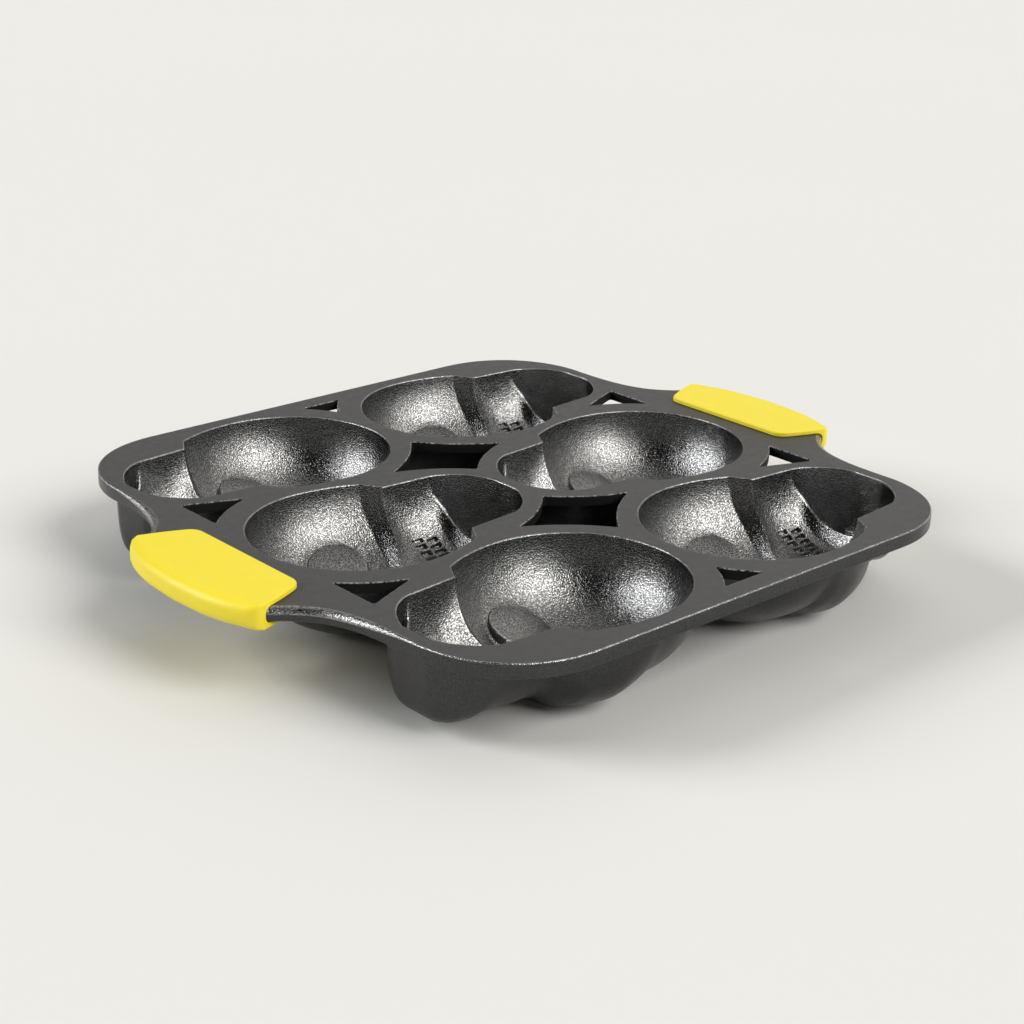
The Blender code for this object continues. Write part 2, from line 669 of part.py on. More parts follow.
def main():
    clear_scene()
    iron = material("seasoned_iron", (0.045, 0.045, 0.048), 0.52, 0.6)
    silicone = material("yellow_silicone", (0.95, 0.73, 0.06), 0.45, 0.0)
    casting = build_casting(iron)
    pocket = handle_clearance()
    left = build_grip("grip_left", -1, pocket, silicone)
    right = build_grip("grip_right", 1, pocket, silicone)
    for item in (casting, left, right):
        shade(item, 0.6)
        print(item.name, len(item.data.polygons), "faces")


main()
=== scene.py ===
# %% [markdown]
# # Skull cake pan
# A cast iron pan with six skull cups and two yellow silicone grips. The CAD part is loaded
# as a fixed frame, and this file builds the finished looks around it: a finely modelled
# casting, soft grips, their materials, a pale studio and the camera.

# %% Load the CAD frame
import bpy, bmesh
import numpy as np
from math import sin, cos, pi, radians, hypot
from mathutils import Matrix, Vector


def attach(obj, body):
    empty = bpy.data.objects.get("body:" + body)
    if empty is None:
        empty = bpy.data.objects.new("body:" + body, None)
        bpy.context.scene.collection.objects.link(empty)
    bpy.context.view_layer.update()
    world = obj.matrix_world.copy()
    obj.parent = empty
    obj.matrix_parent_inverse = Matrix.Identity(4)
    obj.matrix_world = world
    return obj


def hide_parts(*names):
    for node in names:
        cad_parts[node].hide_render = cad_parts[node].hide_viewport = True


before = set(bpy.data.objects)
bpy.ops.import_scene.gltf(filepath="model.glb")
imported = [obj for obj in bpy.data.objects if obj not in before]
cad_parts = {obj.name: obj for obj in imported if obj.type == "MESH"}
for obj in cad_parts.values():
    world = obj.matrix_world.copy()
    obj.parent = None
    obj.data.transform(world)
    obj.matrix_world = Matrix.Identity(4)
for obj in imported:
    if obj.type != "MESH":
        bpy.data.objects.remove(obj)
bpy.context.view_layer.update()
print("CAD nodes:", sorted(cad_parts))

# %% [markdown]
# The camera stands to the left of the pan's front corner and looks down by about 21
# degrees with a long lens, as the photograph does. Its place could be found by eye; here it
# was solved from points on the flat top of the plate, because that top is one exact plane
# at a known height, so the edges of plate, cups and holes all fall into place together.

# %% Camera
PAN_HEIGHT = 0.0450
UNIT = 0.075                    # metres for one unit of the camera solve
LOOK_X, LOOK_Y, CAMERA_DISTANCE = -0.3437, -0.4032, 12.2820     # in those units
CAMERA_TURN, CAMERA_TILT, CAMERA_ROLL = -42.7526, 21.3896, 1.549
FOCAL_PIXELS, PICTURE_PIXELS, SENSOR_WIDTH = 1980.148, 1024, 36


def photo_camera():
    az, el, roll = radians(CAMERA_TURN), radians(CAMERA_TILT), radians(CAMERA_ROLL)
    look = Vector((LOOK_X * UNIT, LOOK_Y * UNIT, PAN_HEIGHT))
    back = Vector((sin(az) * cos(el), -cos(az) * cos(el), sin(el)))
    right = Vector((cos(az), sin(az), 0))
    up = back.cross(right)
    level = right * cos(roll) + up * sin(roll)
    upright = -right * sin(roll) + up * cos(roll)
    lens = bpy.data.cameras.new("photo_camera")
    lens.sensor_width = SENSOR_WIDTH
    lens.lens = FOCAL_PIXELS / PICTURE_PIXELS * SENSOR_WIDTH
    lens.clip_end = 20
    camera = bpy.data.objects.new("photo_camera", lens)
    place = Matrix((level, upright, back)).transposed().to_4x4()
    place.translation = look + back * CAMERA_DISTANCE * UNIT
    camera.matrix_world = place
    bpy.context.scene.collection.objects.link(camera)
    bpy.context.scene.camera = camera
    return camera


camera = photo_camera()
bpy.context.scene.view_settings.view_transform = 'Standard'
print("camera at", [round(v, 3) for v in camera.location])

# %% [markdown]
# Small helpers come first. Each solid is a mesh made from rings of points, and a piece that
# is cut or joined goes through a Boolean modifier and is then kept as a plain mesh. A cutter
# runs a little past the iron, so that no two faces lie in one plane.

# %% Mesh helpers
OVERCUT = 0.002                 # how far a cutter runs past the iron


def mesh_object(name, verts, faces, finish):
    mesh = bpy.data.meshes.new(name)
    mesh.from_pydata([tuple(v) for v in verts], [], faces)
    bm = bmesh.new()
    bm.from_mesh(mesh)
    bmesh.ops.remove_doubles(bm, verts=bm.verts, dist=1e-7)
    bmesh.ops.dissolve_degenerate(bm, edges=bm.edges, dist=1e-8)
    bmesh.ops.recalc_face_normals(bm, faces=bm.faces)
    bm.to_mesh(mesh)
    bm.free()
    mesh.materials.append(finish)
    item = bpy.data.objects.new(name, mesh)
    bpy.context.scene.collection.objects.link(item)
    return item


def ring_solid(name, rings, finish):
    """A closed solid through rings of equal counts of points."""
    count = len(rings[0])
    verts = [p for ring in rings for p in ring]
    faces = []
    for r in range(len(rings) - 1):
        for i in range(count):
            j = (i + 1) % count
            faces.append((r * count + i, r * count + j, (r + 1) * count + j, (r + 1) * count + i))
    faces.append(list(range(count))[::-1])
    faces.append([(len(rings) - 1) * count + i for i in range(count)])
    return mesh_object(name, verts, faces, finish)


def combine(target, tools, operation):
    """Runs a Boolean with each tool, keeps the result as target's own mesh, drops the tools."""
    for tool in tools:
        modifier = target.modifiers.new("cut", 'BOOLEAN')
        modifier.operation = operation
        modifier.solver = 'MANIFOLD'
        modifier.material_mode = 'TRANSFER'
        modifier.object = tool
    bpy.context.view_layer.update()
    graph = bpy.context.evaluated_depsgraph_get()
    result = bpy.data.meshes.new_from_object(target.evaluated_get(graph))
    target.modifiers.clear()
    target.data = result
    for tool in tools:
        bpy.data.objects.remove(tool)


def table_curve(table, at):
    """Smooth, never overshooting curve through rows of (place, value, ...) at many places."""
    table = np.array(table, float)
    x, y = table[:, 0], table[:, 1:]
    step = np.diff(x)[:, None]
    slope = np.diff(y, axis=0) / step
    tangent = np.zeros_like(y)
    same = slope[:-1] * slope[1:] > 0
    with np.errstate(divide='ignore', invalid='ignore'):
        mean = 2 * slope[:-1] * slope[1:] / (slope[:-1] + slope[1:])
    tangent[1:-1] = np.where(same, mean, 0)
    tangent[0], tangent[-1] = slope[0], slope[-1]
    at = np.clip(np.asarray(at, float), x[0], x[-1])
    k = np.clip(np.searchsorted(x, at, side='right') - 1, 0, len(x) - 2)
    h = (x[k + 1] - x[k])[:, None]
    u = ((at - x[k])[:, None]) / h
    return ((1 + 2 * u) * (1 - u) ** 2 * y[k] + u * (1 - u) ** 2 * h * tangent[k]
            + u * u * (3 - 2 * u) * y[k + 1] + u * u * (u - 1) * h * tangent[k + 1])


# %% [markdown]
# The mouth of a cup is a skull seen from the front: a round cranium, a corner at each cheek
# bone, a notch, the jaw and a blunt chin. Its width is a few plain formulas of the distance
# from the top of the skull, the same ones as in the CAD, so that both agree.

# %% Mouth of a cup
CUP_LENGTH, CRANIUM_HALF, CRANIUM_MIDDLE, CHEEK_RUN = 0.1410, 0.0506, 0.0518, 0.0630
CHEEK_AT, NOTCH_AT, JAW_END_AT = 0.0859, 0.0919, 0.1181
JAW_HALF, JAW_END_HALF, CHIN_REACH, CHIN_POWER = 0.0328, 0.0306, 0.0244, 1.7


def cup_half_width(s):
    if s <= CRANIUM_MIDDLE:
        return CRANIUM_HALF * max(0.0, 1 - ((CRANIUM_MIDDLE - s) / CRANIUM_MIDDLE) ** 2) ** 0.5
    if s <= CHEEK_AT:
        return CRANIUM_HALF * (1 - ((s - CRANIUM_MIDDLE) / CHEEK_RUN) ** 2) ** 0.5
    if s <= NOTCH_AT:
        share = (s - CHEEK_AT) / (NOTCH_AT - CHEEK_AT)
        return cup_half_width(CHEEK_AT) * (1 - share) + JAW_HALF * share
    if s <= JAW_END_AT:
        share = (s - NOTCH_AT) / (JAW_END_AT - NOTCH_AT)
        return JAW_HALF * (1 - share) + JAW_END_HALF * share
    share = min(1.0, (s - JAW_END_AT) / CHIN_REACH)
    return JAW_END_HALF * (1 - share ** CHIN_POWER) ** (1 / CHIN_POWER)


# %% [markdown]
# Below the mouth the cup is a stack of half-round sections. A table gives each one's depth
# and squareness, and how far it leans towards the chin half way down and on the floor. The
# lean is what makes the edge between cheek and jaw, and the ridge under the lip, run as
# slanting curves, as they do in the real casting, where plain upright sections would show
# straight bands.

# %% Floor and walls of a cup
BOWL_DEPTH = 0.0410
MOUTH_ROUND = 0.0007            # worn edge round a mouth
# place on the mouth, depth, squareness, lean half way down, lean on the floor; all mm but the third
CUP_TABLE = [
    (51.8, 41.0, 2.0, 0.0, 0.0), (60.0, 40.9, 1.98, 0.0, 0.0), (70.0, 40.5, 1.92, 0.0, 0.0),
    (79.0, 39.3, 1.80, 0.0, -1.0), (85.9, 38.2, 1.72, 0.0, -3.6), (88.8, 36.4, 1.72, 0.0, -6.0),
    (91.9, 34.4, 1.75, 0.0, -8.0), (93.2, 34.3, 1.85, 0.2, -7.4), (98.0, 34.4, 2.15, 0.6, -4.0),
    (104.0, 34.8, 2.3, 0.8, -0.6), (111.0, 34.6, 2.2, 1.8, 2.2), (115.0, 33.0, 2.05, 3.8, 4.2),
    (116.6, 30.0, 2.0, 5.0, 5.2), (117.8, 26.4, 2.0, 5.8, 6.0), (118.6, 26.4, 2.0, 5.8, 6.1),
    (119.6, 29.6, 2.2, 5.2, 5.9), (121.6, 33.6, 2.8, 4.0, 5.0), (126.0, 34.4, 3.5, 2.2, 2.6),
    (131.0, 34.4, 4.1, 1.0, 1.2), (136.0, 34.0, 4.2, 0.0, 0.0), (138.2, 32.4, 4.2, 0.0, 0.0),
    (139.8, 27.6, 4.2, 0.0, 0.0), (140.6, 18.0, 4.2, 0.0, 0.0), (141.0, 0.0, 4.2, 0.0, 0.0),
]
# angle on the section, share of the wall's lean, share of the floor's lean
LEAN_SHARES = [(0, 0.0, 0.0), (20, 0.42, 0.0), (38, 1.0, 0.0), (50, 0.82, 0.18), (57, 0.62, 0.38),
               (66, 0.25, 0.75), (80, 0.0, 1.0), (90, 0.0, 1.0)]
FRONT_POWER, FRONT_SQUARE, FRONT_SQUARE_DROP = 2.4, 2.3, 0.3


def front_section(s):
    """Depth and squareness of the cranium's front half: a round bowl."""
    full_at = CRANIUM_MIDDLE + 0.0010
    rise = max(0.0, 1 - ((full_at - s) / full_at) ** FRONT_POWER) ** (1 / FRONT_POWER)
    return BOWL_DEPTH * rise, FRONT_SQUARE - FRONT_SQUARE_DROP * s / CRANIUM_MIDDLE


def cup_rows():
    """Places of the sections on the mouth, closer where the form turns fast."""
    front = CRANIUM_MIDDLE * (1 - np.cos(np.linspace(0, pi / 2, 37)))
    # start, end and number of steps of each stretch
    dense = [(CRANIUM_MIDDLE, CHEEK_AT - 0.003, 14), (CHEEK_AT - 0.003, CHEEK_AT, 4),
             (CHEEK_AT, NOTCH_AT, 9), (NOTCH_AT, NOTCH_AT + 0.004, 6),
             (NOTCH_AT + 0.004, 0.1140, 14), (0.1140, 0.1222, 20), (0.1222, 0.1350, 10),
             (0.1350, 0.1392, 6), (0.1392, CUP_LENGTH, 7)]
    rows = list(front)
    for start, end, count in dense:
        rows += list(np.linspace(start, end, count + 1)[1:])
    return np.array(rows)


def cup_sections(columns=58):
    """Grid of points (rows, columns + 1, 3) of a cup's inside, mouth at z = -MOUTH_ROUND."""
    places = cup_rows()
    values = table_curve(CUP_TABLE, places * 1000)
    grid = []
    fine = np.linspace(0, pi, 481)      # angles to measure each section's length with
    for s, (depth, square, lean_wall, lean_floor) in zip(places, values):
        depth /= 1000
        if s < CRANIUM_MIDDLE:
            depth, square = front_section(s)
        half = cup_half_width(s)
        down = MOUTH_ROUND + max(0.0, depth - MOUTH_ROUND) * np.abs(np.sin(fine)) ** (2 / square)
        across = half * np.abs(np.cos(fine)) ** (2 / square) * np.sign(np.cos(fine))
        length = np.concatenate(([0], np.cumsum(np.hypot(np.diff(across), np.diff(down)))))
        if length[-1] < 1e-9:
            grid.append([(s, 0.0, -MOUTH_ROUND)] * (columns + 1))
            continue
        picks = np.linspace(0, 1, columns + 1) * length[-1]
        angle = np.interp(picks, length, fine)
        steep = np.degrees(np.minimum(angle, pi - angle))
        leans = [(angle, lean_wall * wall + lean_floor * floor) for angle, wall, floor in LEAN_SHARES]
        lean = table_curve(leans, steep)[:, 0] / 1000
        grid.append(list(zip(s + lean, np.interp(picks, length, across),
                             -np.interp(picks, length, down))))
    return np.array(grid)


def outline_normals(points):
    """Unit normals of a closed outline in the plane, pointing away from its inside."""
    points = np.asarray(points)[:, :2]
    along = np.roll(points, -1, axis=0) - np.roll(points, 1, axis=0)
    along /= np.linalg.norm(along, axis=1)[:, None]
    normals = np.stack((along[:, 1], -along[:, 0]), axis=1)
    area = np.sum(points[:, 0] * np.roll(points[:, 1], -1) - points[:, 1] * np.roll(points[:, 0], -1))
    return normals if area > 0 else -normals


FLARE_ANGLE, FLARE_INSET, FLARE_REACH = 76, 0.35, 0.9   # the last two in shares of the radius
FLARE_STEP = 0.00012                                    # first ring above the plate's top


def flared_rings(loop, radius, top, steps=5):
    """Rings that open a vertical wall outward by a quarter round and run past the top."""
    loop = np.asarray(loop)[:, :2]
    normals = outline_normals(loop)
    rings = []
    for k in range(steps):
        angle = radians(FLARE_ANGLE) * k / (steps - 1)
        spread = radius * (1 - cos(angle)) - FLARE_INSET * radius
        drop = radius * (1 - sin(angle))
        rings.append([(x + nx * spread, y + ny * spread, top - drop)
                      for (x, y), (nx, ny) in zip(loop, normals)])
    spread = radius * FLARE_REACH
    for level in (FLARE_STEP, OVERCUT):
        rings.append([(x + nx * spread, y + ny * spread, top + level)
                      for (x, y), (nx, ny) in zip(loop, normals)])
    return rings


def cup_cavity(finish):
    """The hollow of one cup as a cutter, with its opened mouth."""
    grid = cup_sections()
    rows, columns = grid.shape[:2]
    verts = [tuple(p) for p in grid.reshape(-1, 3)]
    faces = [(r * columns + c, r * columns + c + 1, (r + 1) * columns + c + 1, (r + 1) * columns + c)
             for r in range(rows - 1) for c in range(columns - 1)]
    rim = [r * columns for r in range(rows)]
    rim += [(rows - 1) * columns + c for c in range(1, columns - 1)]
    rim += [r * columns + columns - 1 for r in range(rows - 1, 0, -1)]
    rings = flared_rings([verts[i] for i in rim], MOUTH_ROUND, 0.0)
    last = rim
    for ring in rings[1:]:
        first = len(verts)
        verts += ring
        now = list(range(first, first + len(ring)))
        count = len(now)
        faces += [(last[i], last[(i + 1) % count], now[(i + 1) % count], now[i]) for i in range(count)]
        last = now
    faces.append(last)
    return mesh_object("cup_cavity", verts, faces, finish)


# %% [markdown]
# Two eye sockets and a nose stand on the floor of a cup as flat-topped islands: in the cake
# they come out as hollows. Each is a plug cut out of the hollow before that cuts the iron.
# Its top edge is round, and its foot runs out in a small hollow curve that follows the bowl,
# as on any pattern that has to leave the sand. A plain prism would meet the bowl in a hard line.

# %% Eyes and nose
EYE_AT, EYE_APART_HALF, EYE_ALONG, EYE_ACROSS, EYE_TOP = 0.0595, 0.0255, 0.0150, 0.0135, 0.0303
EYE_LEAN_BACK, EYE_LEAN_OUT = 0.15, 0.42
NOSE_AT, NOSE_LENGTH, NOSE_HALF, NOSE_TOP = 0.0700, 0.0130, 0.0068, 0.0353
NOSE_SHARES = [(-0.5, 0.16), (-0.1, 0.62), (0.28, 1.0), (0.5, 0.72), (0.42, 0.22)]
# the hollow curve at an island's foot: distance outward from the wall, height above the bowl
FOOT_CURVE = [(0.0046, -0.0012), (0.0036, -0.00003), (0.0023, 0.00012), (0.0013, 0.00045),
              (0.0007, 0.0010), (0.0003, 0.0019)]
LEAST_FOOT = 0.0003


def bowl_depth(s, t):
    """Depth of a cup's floor below the plate at one place of its mouth."""
    if s < CRANIUM_MIDDLE:
        depth, square = front_section(s)
    else:
        depth, square = table_curve(CUP_TABLE, [s * 1000])[0][:2]
        depth /= 1000
    share = min(1.0, abs(t) / cup_half_width(s))
    return MOUTH_ROUND + (depth - MOUTH_ROUND) * (1 - share ** square) ** (1 / square)


def island(outline, middle, top_depth, lean=(0.0, 0.0), edge=0.0014, foot=1.0, edge_steps=4):
    """A plug with a round top edge and a hollow curve at its foot; its top leans both ways."""
    outline = np.array(outline)
    middle = np.array(middle)
    size = np.linalg.norm(outline - middle, axis=1).mean()
    rings = []

    def top(s, t):
        return top_depth + lean[0] * (s - middle[0]) + lean[1] * (t - middle[1])

    for out, above in FOOT_CURVE:
        ring = middle + (outline - middle) * (1 + out * foot / size)
        level = []
        for s, t in ring:
            floor = bowl_depth(s, t)
            most = max(LEAST_FOOT, 0.5 * (floor - top(s, t)))
            level.append((s, t, -floor + min(above * foot, most)))
        rings.append(level)
    for k in range(edge_steps + 1):
        angle = radians(90) * k / edge_steps
        ring = middle + (outline - middle) * (1 - edge / size * (1 - cos(angle)))
        rings.append([(s, t, -top(s, t) - min(edge, 0.5 * (bowl_depth(s, t) - top(s, t)))
                       * (1 - sin(angle))) for s, t in ring])
    return ring_solid("island", rings, CUP_IRON)


def eye_island(side):
    middle = (EYE_AT, side * EYE_APART_HALF)
    turns = np.linspace(0, 2 * pi, 48, endpoint=False)
    outline = [(middle[0] + EYE_ALONG * cos(a), middle[1] + EYE_ACROSS * sin(a)) for a in turns]
    return island(outline, middle, EYE_TOP, (-EYE_LEAN_BACK, -side * EYE_LEAN_OUT))


def nose_island():
    """The nose: a few corners, each cut back three times until the outline is round."""
    outline = [(NOSE_AT + NOSE_LENGTH * a, NOSE_HALF * b) for a, b in NOSE_SHARES]
    outline += [(s, -t) for s, t in reversed(outline)]
    for _ in range(3):
        ring = []
        for k, p in enumerate(outline):
            q = outline[(k + 1) % len(outline)]
            ring += [(0.75 * p[0] + 0.25 * q[0], 0.75 * p[1] + 0.25 * q[1]),
                     (0.25 * p[0] + 0.75 * q[0], 0.25 * p[1] + 0.75 * q[1])]
        outline = ring
    return island(outline, (NOSE_AT, 0.0), NOSE_TOP, edge=0.0009, foot=0.6)


# %% [markdown]
# The teeth are two rows of small rounded pits in the arched floor of the jaw, parted by a
# thin bite line. They follow a rule, so a Geometry Nodes tree makes a row: it sets points
# along a line, drops each onto the floor with a ray, turns it to the floor and places the
# same pit there. The count, the pitch and the place are inputs of the tree.

# %% Teeth
BITE_AT = JAW_END_AT - 0.0096
TOOTH_LENGTH = 0.0064
RAY_START = 0.010               # depth from which the rays fall onto the floor
# count, pitch, squeeze towards the ends, width, side of the bite line, gap to it
TOOTH_ROWS = [(11, 0.00524, 0.0073, 0.0045, -1, 0.0005), (13, 0.00335, 0.0008, 0.0028, 1, 0.0006)]


def tooth_pit(length, width, depth=0.0018, corner=0.0011):
    """One pit as a cutter: rounded corners, drafted walls and a rounded bottom."""
    outline = []
    for cx, cy, start in ((1, 1, 0), (-1, 1, 90), (-1, -1, 180), (1, -1, 270)):
        for k in range(4):
            angle = radians(start + 30 * k)
            outline.append((cx * (length / 2 - corner) + corner * cos(angle),
                            cy * (width / 2 - corner) + corner * sin(angle)))
    rings = []
    for inset, level in ((-0.0003, 0.0012), (0.0, 0.0), (0.00012, -0.72 * depth),
                         (0.0004, -0.94 * depth), (0.0009, -depth)):
        scale_x, scale_y = 1 - 2 * inset / length, 1 - 2 * inset / width
        rings.append([(x * scale_x, y * scale_y, level) for x, y in outline])
    return ring_solid("pit", rings, CUP_IRON)


def node_tree(name, inputs, outputs, kind='GeometryNodeTree'):
    tree = bpy.data.node_groups.new(name, kind)
    for label, socket in inputs:
        tree.interface.new_socket(label, in_out='INPUT', socket_type=socket)
    for label, socket in outputs:
        tree.interface.new_socket(label, in_out='OUTPUT', socket_type=socket)
    return tree, tree.nodes.new('NodeGroupInput'), tree.nodes.new('NodeGroupOutput')


def set_inputs(tree, node, values):
    """Gives each named input of a node a link, where its value is a socket, or a plain value."""
    for label, value in values.items():
        if isinstance(value, bpy.types.NodeSocket):
            tree.links.new(value, node.inputs[label])
        else:
            node.inputs[label].default_value = value


def new_node(tree, kind, values=None, **settings):
    node = tree.nodes.new(kind)
    for setting, value in settings.items():
        setattr(node, setting, value)
    set_inputs(tree, node, values or {})
    return node


def math_node(tree, operation, a, b):
    return new_node(tree, 'ShaderNodeMath', {0: a, 1: b}, operation=operation).outputs[0]


def tooth_row_tree():
    tree, given, made = node_tree("tooth_row", [
        ("Floor", 'NodeSocketObject'), ("Pit", 'NodeSocketObject'), ("Count", 'NodeSocketInt'),
        ("Pitch", 'NodeSocketFloat'), ("Place", 'NodeSocketFloat'), ("Squeeze", 'NodeSocketFloat'),
        ("Finish", 'NodeSocketMaterial')], [("Geometry", 'NodeSocketGeometry')])
    count, pitch = given.outputs["Count"], given.outputs["Pitch"]

    # a straight line of points, one for each tooth, centred on the skull's middle
    length = math_node(tree, 'MULTIPLY', math_node(tree, 'SUBTRACT', count, 1), pitch)
    start = new_node(tree, 'ShaderNodeCombineXYZ', {
        "X": given.outputs["Place"], "Y": math_node(tree, 'MULTIPLY', length, -0.5), "Z": -RAY_START})
    step = new_node(tree, 'ShaderNodeCombineXYZ', {"Y": pitch})
    line = new_node(tree, 'GeometryNodeMeshLine', {
        "Count": count, "Start Location": start.outputs[0], "Offset": step.outputs[0]})

    # the outer teeth stand closer together and are narrower
    position = tree.nodes.new('GeometryNodeInputPosition')
    spot = new_node(tree, 'ShaderNodeSeparateXYZ', {0: position.outputs[0]})
    number = math_node(tree, 'DIVIDE', spot.outputs["Y"], pitch)
    squeezed = math_node(tree, 'MULTIPLY', math_node(tree, 'MULTIPLY', number, number),
                         given.outputs["Squeeze"])
    across = math_node(tree, 'MULTIPLY', spot.outputs["Y"], math_node(tree, 'SUBTRACT', 1, squeezed))
    closer = new_node(tree, 'ShaderNodeCombineXYZ', {
        "X": spot.outputs["X"], "Y": across, "Z": spot.outputs["Z"]})
    narrower = math_node(tree, 'SUBTRACT', 1, math_node(tree, 'MULTIPLY', squeezed, 2.3))
    shape = new_node(tree, 'ShaderNodeCombineXYZ', {"X": 1.0, "Y": narrower, "Z": 1.0})
    sized = new_node(tree, 'GeometryNodeStoreNamedAttribute', {
        "Geometry": line.outputs["Mesh"], "Name": "size", "Value": shape.outputs[0]},
        data_type='FLOAT_VECTOR')
    row = new_node(tree, 'GeometryNodeSetPosition', {
        "Geometry": sized.outputs["Geometry"], "Position": closer.outputs[0]})

    # each point falls onto the floor, and its pit is turned to the floor there
    floor = new_node(tree, 'GeometryNodeObjectInfo', {"Object": given.outputs["Floor"]})
    ray = new_node(tree, 'GeometryNodeRaycast', {
        "Target Geometry": floor.outputs["Geometry"], "Ray Direction": (0, 0, -1), "Ray Length": 0.1})
    upward = new_node(tree, 'ShaderNodeVectorMath', {
        0: ray.outputs["Hit Normal"], "Scale": -1.0}, operation='SCALE')
    turn = new_node(tree, 'FunctionNodeAlignRotationToVector', {"Vector": upward.outputs[0]},
                    axis='Z', pivot_axis='X')
    keep = new_node(tree, 'GeometryNodeStoreNamedAttribute', {
        "Geometry": row.outputs["Geometry"], "Name": "turn", "Value": turn.outputs["Rotation"]},
        data_type='QUATERNION')
    drop = new_node(tree, 'GeometryNodeSetPosition', {
        "Geometry": keep.outputs["Geometry"], "Position": ray.outputs["Hit Position"]})
    turns, widths = (new_node(tree, 'GeometryNodeInputNamedAttribute', {"Name": label}, data_type=kind)
                     for label, kind in (("turn", 'QUATERNION'), ("size", 'FLOAT_VECTOR')))
    pit = new_node(tree, 'GeometryNodeObjectInfo', {"Object": given.outputs["Pit"]})
    teeth = new_node(tree, 'GeometryNodeInstanceOnPoints', {
        "Points": drop.outputs["Geometry"], "Instance": pit.outputs["Geometry"],
        "Rotation": turns.outputs["Attribute"], "Scale": widths.outputs["Attribute"]})
    real = new_node(tree, 'GeometryNodeRealizeInstances', {"Geometry": teeth.outputs["Instances"]})
    finish = new_node(tree, 'GeometryNodeSetMaterial', {
        "Geometry": real.outputs["Geometry"], "Material": given.outputs["Finish"]})
    tree.links.new(finish.outputs["Geometry"], made.inputs["Geometry"])
    return tree


def made_by_tree(name, tree, values):
    """Runs a Geometry Nodes tree with named inputs and keeps what it makes as a plain mesh."""
    holder = bpy.data.objects.new(name, bpy.data.meshes.new(name))
    bpy.context.scene.collection.objects.link(holder)
    modifier = holder.modifiers.new("rule", 'NODES')
    modifier.node_group = tree
    for item in tree.interface.items_tree:
        if item.in_out == 'INPUT' and item.name in values:
            modifier[item.identifier] = values[item.name]
    holder.update_tag()
    bpy.context.view_layer.update()
    graph = bpy.context.evaluated_depsgraph_get()
    result = bpy.data.meshes.new_from_object(holder.evaluated_get(graph))
    holder.modifiers.clear()
    holder.data = result
    return holder


# %% [markdown]
# The outside of a cup is a fuller form than its hollow, with cheeks that stand out more. It
# could be an even wall round the hollow, as in the CAD, but the lower edge of the front cups
# in the photograph is squarer than that, so a second table gives the outside its own
# squareness. Each section takes the widest and deepest of the hollow's sections near it, so
# that the wall keeps its thickness where the hollow steps.

# %% Outside of a cup
CUP_WALL, CUP_FLOOR, WEB_THICKNESS, RIM_DEPTH, RIM_WIDTH = 0.0038, 0.0045, 0.0050, 0.0070, 0.0062
# place on the mouth and depth, without the wall (mm), and squareness of the outside
SHELL_TABLE = [
    (51.8, 41.0, 2.15), (60.0, 41.0, 2.55), (70.0, 40.7, 3.0), (85.9, 39.2, 3.0),
    (91.9, 35.6, 2.6), (101.9, 34.5, 2.5), (111.1, 34.7, 2.5), (118.1, 33.9, 2.5),
    (123.8, 32.8, 2.8), (130.0, 33.9, 3.3), (135.0, 34.0, 3.7), (138.2, 32.4, 4.0),
    (139.8, 27.6, 4.1), (141.0, 0.0, 4.0),
]
# distances of the last sections from the shell's end at the chin
CHIN_STEPS = (0.0225, 0.0185, 0.0148, 0.0118, 0.0088, 0.0062, 0.0040, 0.0027, 0.0018, 0.0012, 0.0007)


def shell_depth(s):
    s = min(CUP_LENGTH, max(0.0, s))
    if s < CRANIUM_MIDDLE:
        return front_section(s)
    depth, square = table_curve(SHELL_TABLE, [s * 1000])[0]
    return depth / 1000, square


def cup_shell(finish, steps=36, sections=22, tries=9):
    """The outside of one cup; its flat top stays hidden in the web."""
    hidden = WEB_THICKNESS / 2
    reach = CRANIUM_MIDDLE + CUP_WALL
    end = CUP_LENGTH + CUP_WALL
    places = [CRANIUM_MIDDLE - reach * cos(0.5 * pi * k / sections) for k in range(sections + 1)]
    places += list(np.linspace(CRANIUM_MIDDLE, JAW_END_AT, sections)[1:])
    places += [end - back for back in CHIN_STEPS]
    rings = []
    for place in places:
        half = depth = 0.0
        for share in np.linspace(-1, 1, tries):
            near = min(CUP_LENGTH, max(0.0, place + CUP_WALL * share))
            extra = (1 - share * share) ** 0.5
            half = max(half, cup_half_width(near) + CUP_WALL * extra)
            depth = max(depth, shell_depth(near)[0] + CUP_FLOOR * extra)
        if place in (places[0], places[-1]):
            depth = 0.0
        square = shell_depth(place)[1]
        depth = max(depth, 1.6 * hidden)
        ring = []
        for k in range(steps + 1):
            angle = pi * k / steps
            across = abs(cos(angle)) ** (2 / square) * (1 if angle <= pi / 2 else -1)
            ring.append((place, half * across, -max(depth * abs(sin(angle)) ** (2 / square), hidden)))
        rings.append(ring)
    return ring_solid("cup_shell", rings, finish)


# %% [markdown]
# The plate's outline is one quarter mirrored twice: a straight side, a squarish corner and a
# hollow sweep out to the handle. The slab on it has a round edge whose radius grows from a
# worn 0.6 mm at the corners to a full 3 mm on the handles.

# %% Plate, rim and handles
PLATE_HALF_WIDTH, PLATE_END, CORNER_REACH, CORNER_POWER = 0.1628, 0.1523, 0.0548, 2.15
ROW_PITCH, CRANIUM_LAND, CHIN_LAND = 0.1039, 0.0041, 0.0034
EDGE_ROUND, HANDLE_EXTRA_ROUND = 0.0006, 0.0024
FULL_ROUND_AT, ROUND_RUN = 0.0700, 0.0520       # from the line through both handles, outward
HANDLE_CURVE = [(0.0082, 0.0660), (0.0120, 0.0600), (0.0180, 0.0536), (0.0285, 0.0454),
                (0.0324, 0.0401), (0.0356, 0.0315), (0.0380, 0.0199), (0.0394, 0.0000)]
SWEEP_SHARES = [(0.10, 0.75), (0.27, 0.481), (0.585, 0.214)]


